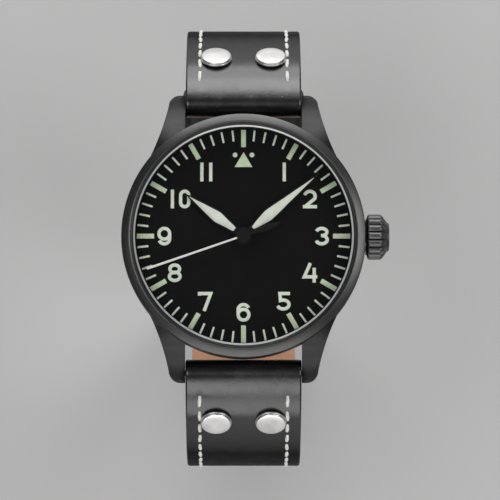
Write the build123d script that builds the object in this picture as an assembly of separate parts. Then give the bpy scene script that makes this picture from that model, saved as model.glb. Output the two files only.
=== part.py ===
"""Pilot watch with a riveted leather strap, as an assembly of separate pieces, in millimetres.

The origin is the centre of the case back's outer face. +X points to 3 o'clock and the crown,
+Y to 12 o'clock, and +Z out of the dial. The strap is unbuckled and curls round the space of a
wrist: the short half with the buckle hangs from the 12 o'clock lugs, the long half with the
holes hangs from the 6 o'clock lugs and passes outside it.
"""

from build123d import *
import os
from math import cos, degrees, pi, radians, sin, sqrt

# Case, in plan
CASE_DIAMETER = 42.0
LUG_REACH = 4.0
LUG_GAP = 20.2
LUG_TIP_OUTER = 12.9
LUG_TIP_ROUND = 2.0
LUG_LEAVES_CASE_AT = 40.0
LUG_WAIST = 0.35

# Case, in height
BACK_FLANGE = 1.2
MIDDLE_HEIGHT = 7.0
CASE_WALL = 2.1
BEZEL_HEIGHT = 2.6
CASE_UNDERCUT = 1.1
CASE_UNDERCUT_HEIGHT = 2.0
LUG_TIP_TOP = 1.9
LUG_TIP_BOTTOM = 0.35
LUG_BROW = 1.9
LUG_TIP_SETBACK = 0.475

# Bezel, crystal and inner ring
BEZEL_INSET = 0.1
BEZEL_CREST_INSET = 1.4
BEZEL_OUTER_DROP = 0.55
BEZEL_INNER_DROP = 0.3
CRYSTAL_THICKNESS = 1.8
CRYSTAL_PROUD = 0.4
CRYSTAL_BEVEL = 0.4
INNER_RING_WALL = 0.5

# Dial and its markers
DIAL_PLAY = 0.1
DIAL_SINK = 0.4
DIAL_THICKNESS = 0.4
DIAL_HOLE = 1.2
DIAL_FOOT_RADIUS = 0.4
DIAL_FOOT_LENGTH = 1.0
DIAL_FOOT_CIRCLE = 10.6
DIAL_FOOT_ANGLE = 100.0
MARK_INSET = 0.5
HOUR_MARKS = 12
HOUR_MARK_LENGTH = 2.9
HOUR_MARK_WIDTH = 0.9
MARK_HEIGHT = 0.12
TRIANGLE_TIP = 14.5
TRIANGLE_BASE = 11.9
TRIANGLE_WIDTH = 3.0
DOT_RADIUS = 0.4
DOT_ACROSS = 1.45
DOT_UP = 14.0

# Hands. Angles are clockwise from 12 o'clock, in degrees: the rest pose shows about 10:08:42
HOUR_ANGLE = 306.0
MINUTE_ANGLE = 50.5
SECONDS_ANGLE = 251.0
HAND_THICKNESS = 0.16
HAND_FRAME = 0.22
HAND_BOSS = 1.45
HOUR_LUME_START = 1.9
HOUR_LUME_WIDEST_AT = 5.4
HOUR_LUME_WIDTH = 1.9
HOUR_LUME_TIP = 11.4
MINUTE_LUME_START = 2.1
MINUTE_LUME_WIDEST_AT = 5.8
MINUTE_LUME_WIDTH = 1.95
MINUTE_LUME_TIP = 15.6
LUME_ROOT_WIDTH = 0.7
LUME_TIP_WIDTH = 0.16
HAND_POINT = 1.0
SECONDS_TIP = 17.6
SECONDS_WIDTH = 0.42
SECONDS_WHITE_START = 0.9
SECONDS_TAIL = 6.4
SECONDS_TAIL_WIDEST_AT = 4.2
SECONDS_TAIL_WIDTH = 1.1
SECONDS_BOSS = 1.0
HOUR_HAND_LIFT = 0.45
HAND_SPACING = 0.42

# Motion works: cannon pinion, minute wheel and hour wheel, twelve to one
CANNON_TEETH = 12
MINUTE_WHEEL_TEETH = 36
MINUTE_PINION_TEETH = 10
HOUR_WHEEL_TEETH = 40
WORKS_CENTRES = 3.6
WORKS_ANGLE = -30.0
WHEEL_THICKNESS = 0.3
PINION_THICKNESS = 0.55
WORKS_PLAY = 0.1
TOOTH_ROOT_SHARE = 1.2
TOOTH_TIP_SHARE = 0.8
TOOTH_WIDTH_SHARES = (-0.26, -0.1, 0.1, 0.26)
SECONDS_ARBOR = 0.2
CENTRE_TUBE_WALL = 0.22
CANNON_WALL = 0.22
HOUR_PIPE_WALL = 0.29
RUNNING_PLAY = 0.04
MINUTE_POST_RADIUS = 0.3

# Movement
MOVEMENT_RADIUS = 13.0
PLATE_THICKNESS = 3.1
BRIDGE_THICKNESS = 1.2
WORKS_RECESS = 1.3
WORKS_ROOM = 0.35
HOLDER_PLAY = 0.05
ROTOR_RADIUS = 12.6
ROTOR_RIM_WIDTH = 3.2
ROTOR_WEB_THICKNESS = 0.45
ROTOR_RIM_THICKNESS = 0.9
ROTOR_HUB_RADIUS = 2.6
ROTOR_POST_RADIUS = 1.0
ROTOR_GAP = 0.2
ROTOR_SCREW_HEAD = 0.35
BALANCE_X = -5.2
BALANCE_Y = -5.2
BALANCE_BEARING = 45.0
BALANCE_RADIUS = 4.2
BALANCE_RIM_WIDTH = 0.6
BALANCE_RIM_THICKNESS = 0.45
BALANCE_ARM_WIDTH = 0.7
BALANCE_STAFF_RADIUS = 0.3
BALANCE_POCKET_DEPTH = 1.2
BALANCE_ROOM = 0.4
COCK_WIDTH = 3.4
COCK_THICKNESS = 0.8
HAIRSPRING_TURNS = 4
HAIRSPRING_STEPS = 16
HAIRSPRING_INNER = 0.62
HAIRSPRING_PITCH = 0.28
HAIRSPRING_BAND = 0.06
HAIRSPRING_HEIGHT = 0.14
PLATE_SCREW_RADIUS = 0.55
PLATE_SCREW_CIRCLE = 11.6
PLATE_SCREW_ANGLES = (20.0, 125.0, 320.0)

# Crown, stem and tube
CROWN_RADIUS = 3.95
CROWN_GRIP_LENGTH = 2.5
CROWN_SHOULDER_LENGTH = 0.9
CROWN_SHOULDER_DROP = 1.0
CROWN_DOME = 0.5
CROWN_DOME_SHARES = ((0.75, 0.6), (0.35, 1.0))
CROWN_GAP = 0.25
CROWN_FLUTES = 16
CROWN_FLUTE_SHARE = 0.3
CROWN_CAP_RADIUS = 2.6
CROWN_FLUTE_DEPTH = 0.32
CROWN_FLOOR_GAP = 0.25
TUBE_RADIUS = 1.9
TUBE_WALL = 0.8
TUBE_PROUD = 2.3
CROWN_SKIRT_BORE = 2.35
STEM_RADIUS = 0.45
STEM_INNER_END = 6.2
STEM_AXIS_HEIGHT = 5.3
CLUTCH_RADIUS = 1.0
CLUTCH_LENGTH = 1.6
CLUTCH_TEETH = 12
CLUTCH_START = 6.8

# Case back
BACK_RADIUS = 19.7
BACK_BEVEL = 0.7
BACK_PLUG_HEIGHT = 0.4
BACK_NOTCHES = 6
BACK_NOTCH_WIDTH = 3.0
BACK_NOTCH_REACH = 1.5
BACK_NOTCH_DEPTH = 0.5
THREAD_PLAY = 0.05

# Spring bars, in the case and in the buckle
BAR_BEHIND_CASE = 2.4
BAR_HEIGHT = 2.6
BAR_RADIUS = 0.9
BAR_TUBE_LENGTH = 16.8
BAR_BORE = 0.47
TIP_RADIUS = 0.45
TIP_REACH = 1.1
TIP_TAIL = 3.0
TIP_HOLE_PLAY = 0.05

# Strap
STRAP_WIDTH = 19.8
LEATHER = 1.3
LINING = 1.2
BAR_PLAY = 0.05
FOLD_SLOPE = 17.0
FOLD_BEND_RADIUS = 15.0
RIVET_SLOPE = 54.0
UPPER_CURVE_RADIUS = 38.0
FLAP_LENGTH = 15.0
BUCKLE_FLAP_LENGTH = 12.5
LINING_START = 1.3
FLAP_SETTLES_AT = 4.0
SHORT_CURL_FROM = 80.0
SHORT_CURL_RADIUS = 28.0
SHORT_CURL_TO = 134.0
SHORT_STRAIGHT = 21.0
LONG_CURL_TO = 110.0
LONG_END_RADIUS = 300.0
LONG_END_SLOPE = 123.0
TIP_LENGTH = 9.5
HOLE_RADIUS = 1.0
HOLE_COUNT = 6
HOLE_PITCH = 6.5
LAST_HOLE_FROM_TIP = 26.0

# Rivets
RIVET_HEAD_RADIUS = 2.7
RIVET_HEAD_HEIGHT = 1.0
RIVET_HEAD_BEVEL = 0.45
RIVET_ACROSS = 4.75
RIVET_POST_RADIUS = 1.1
RIVET_CAP_RADIUS = 2.2
RIVET_CAP_HEIGHT = 0.45
RIVET_CAP_GAP = 0.22

# Buckle and keepers
BUCKLE_LENGTH = 13.5
BUCKLE_SIDE = 2.2
BUCKLE_FRONT = 2.7
BUCKLE_HEIGHT = 2.3
BUCKLE_PLAY = 0.4
BUCKLE_CORNER = 3.2
BUCKLE_BEVEL = 0.5
BUCKLE_EAR_RADIUS = 1.7
TONGUE_WIDTH = 2.3
TONGUE_THICKNESS = 0.9
TONGUE_LIFT = 0.05
TONGUE_OVERHANG = 0.5
TONGUE_SLOT_PLAY = 0.35
TONGUE_SLOT_LENGTH = 7.5
KEEPER_WIDTH = 5.5
KEEPER_THICKNESS = 1.1
KEEPER_SIDE_PLAY = 0.3
KEEPER_ROOM = 0.5
KEEPER_ROUND = 1.3
FIXED_KEEPER_AT = 9.0
FREE_KEEPER_GAP = 1.2

# Sides of small pins, of hidden rings and of heads, which keep the mesh light in place of curves
PIN_SIDES = 12
HEAD_SIDES = 24
HIDDEN_SIDES = 48

# How far cutting tools run past what they cut, and how far a length may pass a course's end
OVERRUN = 1.0
LENGTH_SLACK = 0.001

# Places that follow from the sizes above
case_radius = CASE_DIAMETER / 2
case_bottom = BACK_FLANGE
case_top = case_bottom + MIDDLE_HEIGHT
bezel_top = case_top + BEZEL_HEIGHT
bezel_radius = case_radius - BEZEL_INSET
crest_radius = case_radius - BEZEL_CREST_INSET
crystal_top = bezel_top + CRYSTAL_PROUD
crystal_bottom = crystal_top - CRYSTAL_THICKNESS
case_bore = case_radius - CASE_WALL
mark_outer = case_bore - DIAL_PLAY - MARK_INSET
dial_top = case_top - DIAL_SINK
dial_bottom = dial_top - DIAL_THICKNESS
holder_bottom = case_bottom + BACK_PLUG_HEIGHT
hour_hand_bottom = dial_top + HOUR_HAND_LIFT
minute_hand_bottom = hour_hand_bottom + HAND_SPACING
seconds_hand_bottom = minute_hand_bottom + HAND_SPACING
plate_top = dial_bottom
plate_bottom = plate_top - PLATE_THICKNESS
bridge_bottom = plate_bottom - BRIDGE_THICKNESS
works_floor = plate_top - WORKS_RECESS
strap_inside = LEATHER + LINING
fold_radius = BAR_RADIUS + BAR_PLAY + LEATHER
half_lug_gap = LUG_GAP / 2
lug_tip = case_radius + LUG_REACH
bar_offset = case_radius + BAR_BEHIND_CASE
flap_inside = strap_inside + LEATHER
buckle_inner = STRAP_WIDTH / 2 + BUCKLE_PLAY
buckle_outer = buckle_inner + BUCKLE_SIDE
lower_module = 2 * WORKS_CENTRES / (CANNON_TEETH + MINUTE_WHEEL_TEETH)
upper_module = 2 * WORKS_CENTRES / (MINUTE_PINION_TEETH + HOUR_WHEEL_TEETH)
works_x = WORKS_CENTRES * cos(radians(WORKS_ANGLE))
works_y = WORKS_CENTRES * sin(radians(WORKS_ANGLE))
lower_level = works_floor + WORKS_PLAY
upper_level = lower_level + PINION_THICKNESS + WORKS_PLAY
centre_tube_outer = SECONDS_ARBOR + RUNNING_PLAY + CENTRE_TUBE_WALL
cannon_bore = centre_tube_outer + RUNNING_PLAY
cannon_outer = cannon_bore + CANNON_WALL
hour_bore = cannon_outer + RUNNING_PLAY
hour_pipe_outer = hour_bore + HOUR_PIPE_WALL
cannon_top = minute_hand_bottom + HAND_THICKNESS
rotor_bottom = bridge_bottom - ROTOR_GAP - ROTOR_RIM_THICKNESS
balance_bore = BALANCE_STAFF_RADIUS + RUNNING_PLAY
stem_room = STEM_RADIUS + RUNNING_PLAY
crown_floor = case_radius + TUBE_PROUD + CROWN_FLOOR_GAP
stem_end = crown_floor + TUBE_WALL
rivet_at = FOLD_BEND_RADIUS * radians(RIVET_SLOPE - FOLD_SLOPE)


def many_sided(radius, length, sides, hole):
    """An upright bar with flat sides. It stays inside its radius, or as a hole outside it."""
    return extrude(RegularPolygon(radius, sides, major_radius=not hole), length)


def disc(radius, low, high, x=0, y=0, sides=0, hole=False):
    """A disc or pin with its axis parallel to Z, round or with flat sides."""
    if sides:
        solid = many_sided(radius, high - low, sides, hole)
    else:
        solid = Cylinder(radius, high - low, align=(Align.CENTER, Align.CENTER, Align.MIN))
    return Pos(x, y, low) * solid


def ring(outer, inner, low, high, sides=0):
    """A plain ring about the Z axis."""
    return disc(outer, low, high, sides=sides) - disc(inner, low, high, sides=sides, hole=True)


def turned(points):
    """A solid turned about the Z axis from an outline of (radius, height) points."""
    outline = Plane.XZ * Polyline(*points, close=True)
    return revolve(make_face(outline), Axis.Z)


def along_x(radius, start, end, y=0, z=0, sides=PIN_SIDES, hole=False):
    """A bar parallel to X, with flat sides or round."""
    return Pos(start, y, z) * Rot(0, 90, 0) * disc(radius, 0, end - start, sides=sides, hole=hole)


def prism(points, low, high):
    """A flat plate cut to an outline of (x, y) points."""
    return extrude(Pos(0, 0, low) * make_face(Polyline(*points, close=True)), high - low)


def clockwise(angle):
    """Turns a piece that points to 12 o'clock to a dial angle."""
    return Rot(0, 0, -angle)


def keep(pieces):
    """Several separate solids as one node."""
    return Compound(children=[solid for piece in pieces for solid in piece.solids()])


# Case


def lug_wing():
    """Plan of one lug, from the centre outwards: the flank leaves the case circle with a slight
    waist and runs to a rounded tip."""
    leave = radians(LUG_LEAVES_CASE_AT)
    root = Vector(case_radius * cos(leave), case_radius * sin(leave))
    tip = Vector(LUG_TIP_OUTER, lug_tip - LUG_TIP_ROUND)
    waist = (root + tip) / 2 - Vector(LUG_WAIST, 0)
    corner = Vector(LUG_TIP_OUTER - LUG_TIP_ROUND, lug_tip)
    bulge = LUG_TIP_ROUND * (1 - sqrt(0.5))
    return make_face(
        [
            Line((0, 0), (0, lug_tip)),
            Line((0, lug_tip), corner),
            ThreePointArc(corner, (LUG_TIP_OUTER - bulge, lug_tip - bulge), tip),
            ThreePointArc(tip, waist, root),
            Line(root, (0, 0)),
        ]
    )


def lug_profile():
    """Side view of a lug, in Y and Z: a long brow that falls from the case top to the tip."""
    start = Vector(0, 0, case_top)
    shoulder = Vector(0, case_radius * sin(radians(LUG_LEAVES_CASE_AT)), case_top)
    tip_top = Vector(0, lug_tip - LUG_TIP_SETBACK, LUG_TIP_TOP)
    brow = (shoulder + tip_top) / 2 + Vector(0, LUG_BROW, LUG_BROW) / sqrt(2)
    heel = Vector(0, lug_tip - LUG_TIP_TOP / 2, LUG_TIP_BOTTOM)
    toe = Vector(0, lug_tip, (LUG_TIP_TOP + LUG_TIP_BOTTOM) / 2)
    under = Vector(0, shoulder.Y, case_bottom)
    centre = Vector(0, 0, case_bottom)
    return make_face(
        [
            Line(start, shoulder),
            ThreePointArc(shoulder, brow, tip_top),
            ThreePointArc(tip_top, toe, heel),
            Line(heel, under),
            Line(under, centre),
            Line(centre, start),
        ]
    )


def case_body():
    """Middle of the case with its four lugs, bored for the movement, tube and spring bars."""
    body = turned(
        [
            (0, case_bottom),
            (case_radius - CASE_UNDERCUT, case_bottom),
            (case_radius, case_bottom + CASE_UNDERCUT_HEIGHT),
            (case_radius, case_top),
            (0, case_top),
        ]
    )
    wing = extrude(Pos(0, 0, -OVERRUN) * lug_wing(), case_top + 2 * OVERRUN)
    wing -= Box(LUG_GAP, 4 * lug_tip, 4 * lug_tip)
    lug = wing & extrude(lug_profile(), case_radius, dir=(1, 0, 0))
    pair = lug + mirror(lug, Plane.YZ)
    body += pair
    body += mirror(pair, Plane.XZ)
    body -= disc(case_radius, case_top, case_top + OVERRUN)
    body -= disc(BACK_RADIUS + THREAD_PLAY, -OVERRUN, case_bottom)
    body -= disc(case_bore, -OVERRUN, case_top + OVERRUN)
    start, end = case_bore - OVERRUN, case_radius + OVERRUN
    body -= along_x(TUBE_RADIUS, start, end, z=STEM_AXIS_HEIGHT, sides=HEAD_SIDES, hole=True)
    reach = half_lug_gap + TIP_REACH + TIP_HOLE_PLAY
    for side in (1, -1):
        hole_radius = TIP_RADIUS + TIP_HOLE_PLAY
        body -= along_x(hole_radius, -reach, reach, side * bar_offset, BAR_HEIGHT, hole=True)
    return body


def bezel():
    """Bezel with its brushed crest and the dark bevel inside it."""
    return turned(
        [
            (case_bore, case_top),
            (case_bore, bezel_top - BEZEL_INNER_DROP),
            (crest_radius, bezel_top),
            (bezel_radius, bezel_top - BEZEL_OUTER_DROP),
            (bezel_radius, case_top),
        ]
    )


def crystal():
    """Flat crystal with a bevelled upper edge, which stands on the inner ring."""
    return turned(
        [
            (0, crystal_bottom),
            (case_bore, crystal_bottom),
            (case_bore, crystal_top - CRYSTAL_BEVEL),
            (case_bore - CRYSTAL_BEVEL, crystal_top),
            (0, crystal_top),
        ]
    )


def inner_ring():
    """Ring round the dial, between the dial and the crystal. It centres the bezel on the case."""
    return ring(case_bore, case_bore - INNER_RING_WALL, dial_top, crystal_bottom, HIDDEN_SIDES)


def case_back():
    """Back with a bevelled edge, opener notches and a plug that fits in the case."""
    plug = case_bore - THREAD_PLAY
    back = turned(
        [
            (0, 0),
            (BACK_RADIUS - BACK_BEVEL, 0),
            (BACK_RADIUS, BACK_BEVEL),
            (BACK_RADIUS, case_bottom),
            (plug, case_bottom),
            (plug, holder_bottom),
            (0, holder_bottom),
        ]
    )
    notch = Box(BACK_NOTCH_REACH + OVERRUN, BACK_NOTCH_WIDTH, 2 * BACK_NOTCH_DEPTH)
    notch = Pos(BACK_RADIUS - BACK_NOTCH_REACH + (BACK_NOTCH_REACH + OVERRUN) / 2, 0, 0) * notch
    for index in range(BACK_NOTCHES):
        back -= Rot(0, 0, 360 * index / BACK_NOTCHES) * notch
    return back


# Dial and markers


def dial():
    """Dial disc with the centre hole and two feet that stand in the main plate."""
    plate = disc(case_bore - DIAL_PLAY, dial_bottom, dial_top, sides=HIDDEN_SIDES)
    plate -= disc(DIAL_HOLE, dial_bottom - OVERRUN, dial_top + OVERRUN, sides=PIN_SIDES, hole=True)
    for foot in dial_feet(DIAL_FOOT_RADIUS, False):
        plate += foot
    return plate


def dial_feet(radius, hole):
    """The two feet on opposite sides of the dial, or the holes for them."""
    low = dial_bottom - DIAL_FOOT_LENGTH
    foot = disc(radius, low, dial_bottom, DIAL_FOOT_CIRCLE, 0, PIN_SIDES, hole)
    return [Rot(0, 0, angle) * foot for angle in (DIAL_FOOT_ANGLE, DIAL_FOOT_ANGLE + 180)]


def dial_markers():
    """The twelve hour bars, the triangle at 12 and its two dots, as thin raised pieces."""
    top = dial_top + MARK_HEIGHT
    pieces = []
    for hour in range(HOUR_MARKS):
        bar = Box(HOUR_MARK_WIDTH, HOUR_MARK_LENGTH, MARK_HEIGHT, align=(Align.CENTER, Align.MAX, Align.MIN))
        pieces.append(clockwise(360 * hour / HOUR_MARKS) * Pos(0, mark_outer, dial_top) * bar)
    half = TRIANGLE_WIDTH / 2
    pieces.append(prism([(-half, TRIANGLE_BASE), (half, TRIANGLE_BASE), (0, TRIANGLE_TIP)], dial_top, top))
    for side in (1, -1):
        pieces.append(disc(DOT_RADIUS, dial_top, top, side * DOT_ACROSS, DOT_UP, PIN_SIDES))
    return keep(pieces)


# Hands


def kite(start, widest_at, tip, root_width, width, tip_width):
    """Outline of a hand that widens from its root and then tapers to its tip."""
    right = [(root_width / 2, start), (width / 2, widest_at), (tip_width / 2, tip)]
    return right + [(-x, y) for x, y in reversed(right)]


def lume(start, widest_at, width, tip, bottom):
    """Luminous filling of a hand, pointing to 12."""
    outline = kite(start, widest_at, tip, LUME_ROOT_WIDTH, width, LUME_TIP_WIDTH)
    return prism(outline, bottom, bottom + HAND_THICKNESS)


def framed_hand(start, widest_at, width, tip, bottom, bore):
    """Hand with a boss, a window for the filling and a solid point, pointing to 12."""
    edge = 2 * HAND_FRAME
    outline = kite(0, widest_at, tip + HAND_POINT, LUME_ROOT_WIDTH + edge, width + edge, LUME_TIP_WIDTH)
    hand = prism(outline, bottom, bottom + HAND_THICKNESS)
    hand += disc(HAND_BOSS, bottom, bottom + HAND_THICKNESS, sides=HEAD_SIDES)
    hand -= lume(start, widest_at, width, tip, bottom)
    return hand - disc(bore, bottom - OVERRUN, bottom + OVERRUN, sides=PIN_SIDES, hole=True)


HOUR_SHAPE = (HOUR_LUME_START, HOUR_LUME_WIDEST_AT, HOUR_LUME_WIDTH, HOUR_LUME_TIP, hour_hand_bottom)
MINUTE_SHAPE = (
    MINUTE_LUME_START,
    MINUTE_LUME_WIDEST_AT,
    MINUTE_LUME_WIDTH,
    MINUTE_LUME_TIP,
    minute_hand_bottom,
)


def hour_hand():
    """Hour hand at its angle, with its pipe on the hour wheel."""
    return clockwise(HOUR_ANGLE) * framed_hand(*HOUR_SHAPE, hour_pipe_outer)


def hour_hand_lume():
    """Filling of the hour hand."""
    return clockwise(HOUR_ANGLE) * lume(*HOUR_SHAPE)


def minute_hand():
    """Minute hand at its angle, on the cannon pinion."""
    return clockwise(MINUTE_ANGLE) * framed_hand(*MINUTE_SHAPE, cannon_outer)


def minute_hand_lume():
    """Filling of the minute hand."""
    return clockwise(MINUTE_ANGLE) * lume(*MINUTE_SHAPE)


def seconds_hand():
    """Seconds hand: a boss and a leaf-shaped tail, and the root that carries the white bar."""
    top = seconds_hand_bottom + HAND_THICKNESS
    tail = [
        (SECONDS_WIDTH / 2, 0),
        (SECONDS_TAIL_WIDTH / 2, -SECONDS_TAIL_WIDEST_AT),
        (0, -SECONDS_TAIL),
        (-SECONDS_TAIL_WIDTH / 2, -SECONDS_TAIL_WIDEST_AT),
        (-SECONDS_WIDTH / 2, 0),
    ]
    hand = prism(tail, seconds_hand_bottom, top)
    hand += disc(SECONDS_BOSS, seconds_hand_bottom, top, sides=HEAD_SIDES)
    hand -= disc(SECONDS_ARBOR, seconds_hand_bottom - OVERRUN, top + OVERRUN, sides=PIN_SIDES, hole=True)
    return clockwise(SECONDS_ANGLE) * (hand - seconds_bar())


def seconds_bar():
    """White bar of the seconds hand, pointing to 12."""
    half = SECONDS_WIDTH / 2
    corners = [
        (-half, SECONDS_WHITE_START),
        (half, SECONDS_WHITE_START),
        (half / 2, SECONDS_TIP),
        (-half / 2, SECONDS_TIP),
    ]
    return prism(corners, seconds_hand_bottom, seconds_hand_bottom + HAND_THICKNESS)


def seconds_hand_bar():
    """White bar at the angle of the seconds hand."""
    return clockwise(SECONDS_ANGLE) * seconds_bar()


# Motion works


def toothed(teeth, module, thickness, bottom, bore, turn=0):
    """A small wheel with straight-sided teeth: each tooth narrows from the root to the tip."""
    pitch = module * teeth / 2
    root, tip = pitch - TOOTH_ROOT_SHARE * module, pitch + TOOTH_TIP_SHARE * module
    step = 2 * pi / teeth
    points = []
    for index in range(teeth):
        middle = index * step + radians(turn)
        for radius, share in zip((root, tip, tip, root), TOOTH_WIDTH_SHARES):
            angle = middle + share * step
            points.append((radius * cos(angle), radius * sin(angle)))
    wheel = prism(points, bottom, bottom + thickness)
    return wheel - disc(bore, bottom - OVERRUN, bottom + thickness + OVERRUN, sides=PIN_SIDES, hole=True)


def cannon_pinion():
    """Pinion with a long pipe that carries the minute hand."""
    pinion = toothed(CANNON_TEETH, lower_module, PINION_THICKNESS, lower_level, cannon_bore, WORKS_ANGLE)
    top = minute_hand_bottom + HAND_THICKNESS
    return pinion + ring(cannon_outer, cannon_bore, lower_level, top, PIN_SIDES)


def hour_wheel():
    """Wheel with a short pipe that carries the hour hand."""
    wheel = toothed(HOUR_WHEEL_TEETH, upper_module, WHEEL_THICKNESS, upper_level, hour_bore, WORKS_ANGLE)
    top = hour_hand_bottom + HAND_THICKNESS
    return wheel + ring(hour_pipe_outer, hour_bore, upper_level, top, PIN_SIDES)


def minute_wheel():
    """Wheel and pinion on one post, between the cannon pinion and the hour wheel. Each has a gap
    where its neighbour on the centre has a tooth."""
    bore = MINUTE_POST_RADIUS + RUNNING_PLAY
    toward_centre = WORKS_ANGLE + 180
    wheel = toothed(
        MINUTE_WHEEL_TEETH,
        lower_module,
        WHEEL_THICKNESS,
        lower_level,
        bore,
        toward_centre + 180 / MINUTE_WHEEL_TEETH,
    )
    pinion_bottom = lower_level + WHEEL_THICKNESS
    pinion = toothed(
        MINUTE_PINION_TEETH,
        upper_module,
        upper_level + WHEEL_THICKNESS - pinion_bottom,
        pinion_bottom,
        bore,
        toward_centre + 180 / MINUTE_PINION_TEETH,
    )
    return Pos(works_x, works_y, 0) * (wheel + pinion)


def seconds_arbor():
    """Arbor of the seconds hand, up through the centre tube."""
    top = seconds_hand_bottom + HAND_THICKNESS
    return disc(SECONDS_ARBOR, works_floor - WORKS_RECESS, top, sides=PIN_SIDES)


# Movement


def balance_pocket(low, high):
    """Room for the balance wheel."""
    return disc(BALANCE_RADIUS + BALANCE_ROOM, low, high, BALANCE_X, BALANCE_Y, HEAD_SIDES, True)


def main_plate():
    """Main plate with its centre tube and minute post, recessed for the motion works under the
    dial, the balance on the other side and the clutch on the stem."""
    plate = disc(MOVEMENT_RADIUS, plate_bottom, plate_top, sides=HIDDEN_SIDES)
    room = WORKS_ROOM + upper_module
    hour_room = upper_module * HOUR_WHEEL_TEETH / 2 + room
    minute_room = lower_module * MINUTE_WHEEL_TEETH / 2 + room
    over = plate_top + OVERRUN
    plate -= disc(hour_room, works_floor, over, sides=HEAD_SIDES, hole=True)
    plate -= disc(minute_room, works_floor, over, works_x, works_y, HEAD_SIDES, True)
    tube_top = cannon_top - PINION_THICKNESS
    plate += disc(centre_tube_outer, works_floor, tube_top, sides=PIN_SIDES)
    arbor_room = SECONDS_ARBOR + RUNNING_PLAY
    arbor_end = works_floor - WORKS_RECESS - WORKS_PLAY
    plate -= disc(arbor_room, arbor_end, tube_top + OVERRUN, sides=PIN_SIDES, hole=True)
    plate += disc(MINUTE_POST_RADIUS, works_floor, plate_top - WORKS_PLAY, works_x, works_y, PIN_SIDES)
    plate -= balance_pocket(plate_bottom - OVERRUN, plate_bottom + BALANCE_POCKET_DEPTH)
    stem_hole_end = MOVEMENT_RADIUS + OVERRUN
    plate -= along_x(stem_room, STEM_INNER_END - WORKS_ROOM, stem_hole_end, z=STEM_AXIS_HEIGHT, hole=True)
    pocket = (CLUTCH_START - WORKS_ROOM, CLUTCH_START + CLUTCH_LENGTH + WORKS_ROOM)
    plate -= along_x(CLUTCH_RADIUS + WORKS_PLAY, *pocket, z=STEM_AXIS_HEIGHT, hole=True)
    for hole in dial_feet(DIAL_FOOT_RADIUS, True):
        plate -= hole
    return plate


def train_bridge():
    """Bridge over the going train, cut out for the balance and its cock, with the rotor post."""
    bridge = disc(MOVEMENT_RADIUS, bridge_bottom, plate_bottom, sides=HIDDEN_SIDES)
    low, high = bridge_bottom - OVERRUN, plate_bottom + OVERRUN
    bridge -= balance_pocket(low, high)
    bridge -= cock_outline(COCK_WIDTH + 2 * WORKS_PLAY, MOVEMENT_RADIUS + OVERRUN, low, high)
    bridge += disc(ROTOR_POST_RADIUS, rotor_bottom, bridge_bottom, sides=PIN_SIDES)
    for screw in bridge_screws(True):
        bridge -= screw
    return bridge


def bridge_screws(hole=False):
    """Screws that hold the bridge to the main plate, flush with the bridge, or their holes."""
    screw = disc(PLATE_SCREW_RADIUS, bridge_bottom, plate_bottom, PLATE_SCREW_CIRCLE, 0, PIN_SIDES, hole)
    return [Rot(0, 0, angle) * screw for angle in PLATE_SCREW_ANGLES]


def cock_outline(width, reach, low, high):
    """A bar from over the balance staff out towards the edge of the movement."""
    start = sqrt(BALANCE_X**2 + BALANCE_Y**2) - width / 2
    bar = Box(reach - start, width, high - low, align=(Align.MIN, Align.CENTER, Align.MIN))
    return Rot(0, 0, 180 + BALANCE_BEARING) * Pos(start, 0, low) * bar


def balance_cock():
    """Cock that carries a pivot of the balance and stands on the main plate."""
    reach = MOVEMENT_RADIUS - BALANCE_ROOM
    arm = cock_outline(COCK_WIDTH, reach, bridge_bottom, bridge_bottom + COCK_THICKNESS)
    foot = cock_outline(COCK_WIDTH, reach, bridge_bottom, plate_bottom)
    foot -= balance_pocket(0, case_top)
    bore = disc(balance_bore, 0, case_top, BALANCE_X, BALANCE_Y, PIN_SIDES, True)
    return arm + foot - bore


def balance_wheel():
    """Balance wheel: rim, two arms and a staff."""
    low = plate_bottom + WORKS_PLAY
    high = low + BALANCE_RIM_THICKNESS
    wheel = ring(BALANCE_RADIUS, BALANCE_RADIUS - BALANCE_RIM_WIDTH, low, high, HEAD_SIDES)
    arm_length = 2 * BALANCE_RADIUS - BALANCE_RIM_WIDTH
    middle = (Align.CENTER, Align.CENTER, Align.MIN)
    wheel += Pos(0, 0, low) * Box(arm_length, BALANCE_ARM_WIDTH, BALANCE_RIM_THICKNESS, align=middle)
    staff_top = plate_bottom + BALANCE_POCKET_DEPTH - WORKS_PLAY
    wheel += disc(BALANCE_STAFF_RADIUS, bridge_bottom + WORKS_PLAY, staff_top, sides=PIN_SIDES)
    return Pos(BALANCE_X, BALANCE_Y, 0) * wheel


def spiral(offset):
    """Points of a spiral that widens by one pitch a turn."""
    points = []
    for index in range(HAIRSPRING_TURNS * HAIRSPRING_STEPS + 1):
        turn = index / HAIRSPRING_STEPS
        radius = HAIRSPRING_INNER + HAIRSPRING_PITCH * turn + offset
        points.append((radius * cos(2 * pi * turn), radius * sin(2 * pi * turn)))
    return points


def hairspring():
    """Flat spiral band with its collet on the balance staff, between the wheel and the cock."""
    outline = spiral(0) + list(reversed(spiral(HAIRSPRING_BAND)))
    high = plate_bottom - WORKS_PLAY
    low = high - HAIRSPRING_HEIGHT
    collet_wall = HAIRSPRING_INNER + HAIRSPRING_BAND
    collet = ring(collet_wall, BALANCE_STAFF_RADIUS, low, high, PIN_SIDES)
    return Pos(BALANCE_X, BALANCE_Y, 0) * (prism(outline, low, high) + collet)


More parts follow.
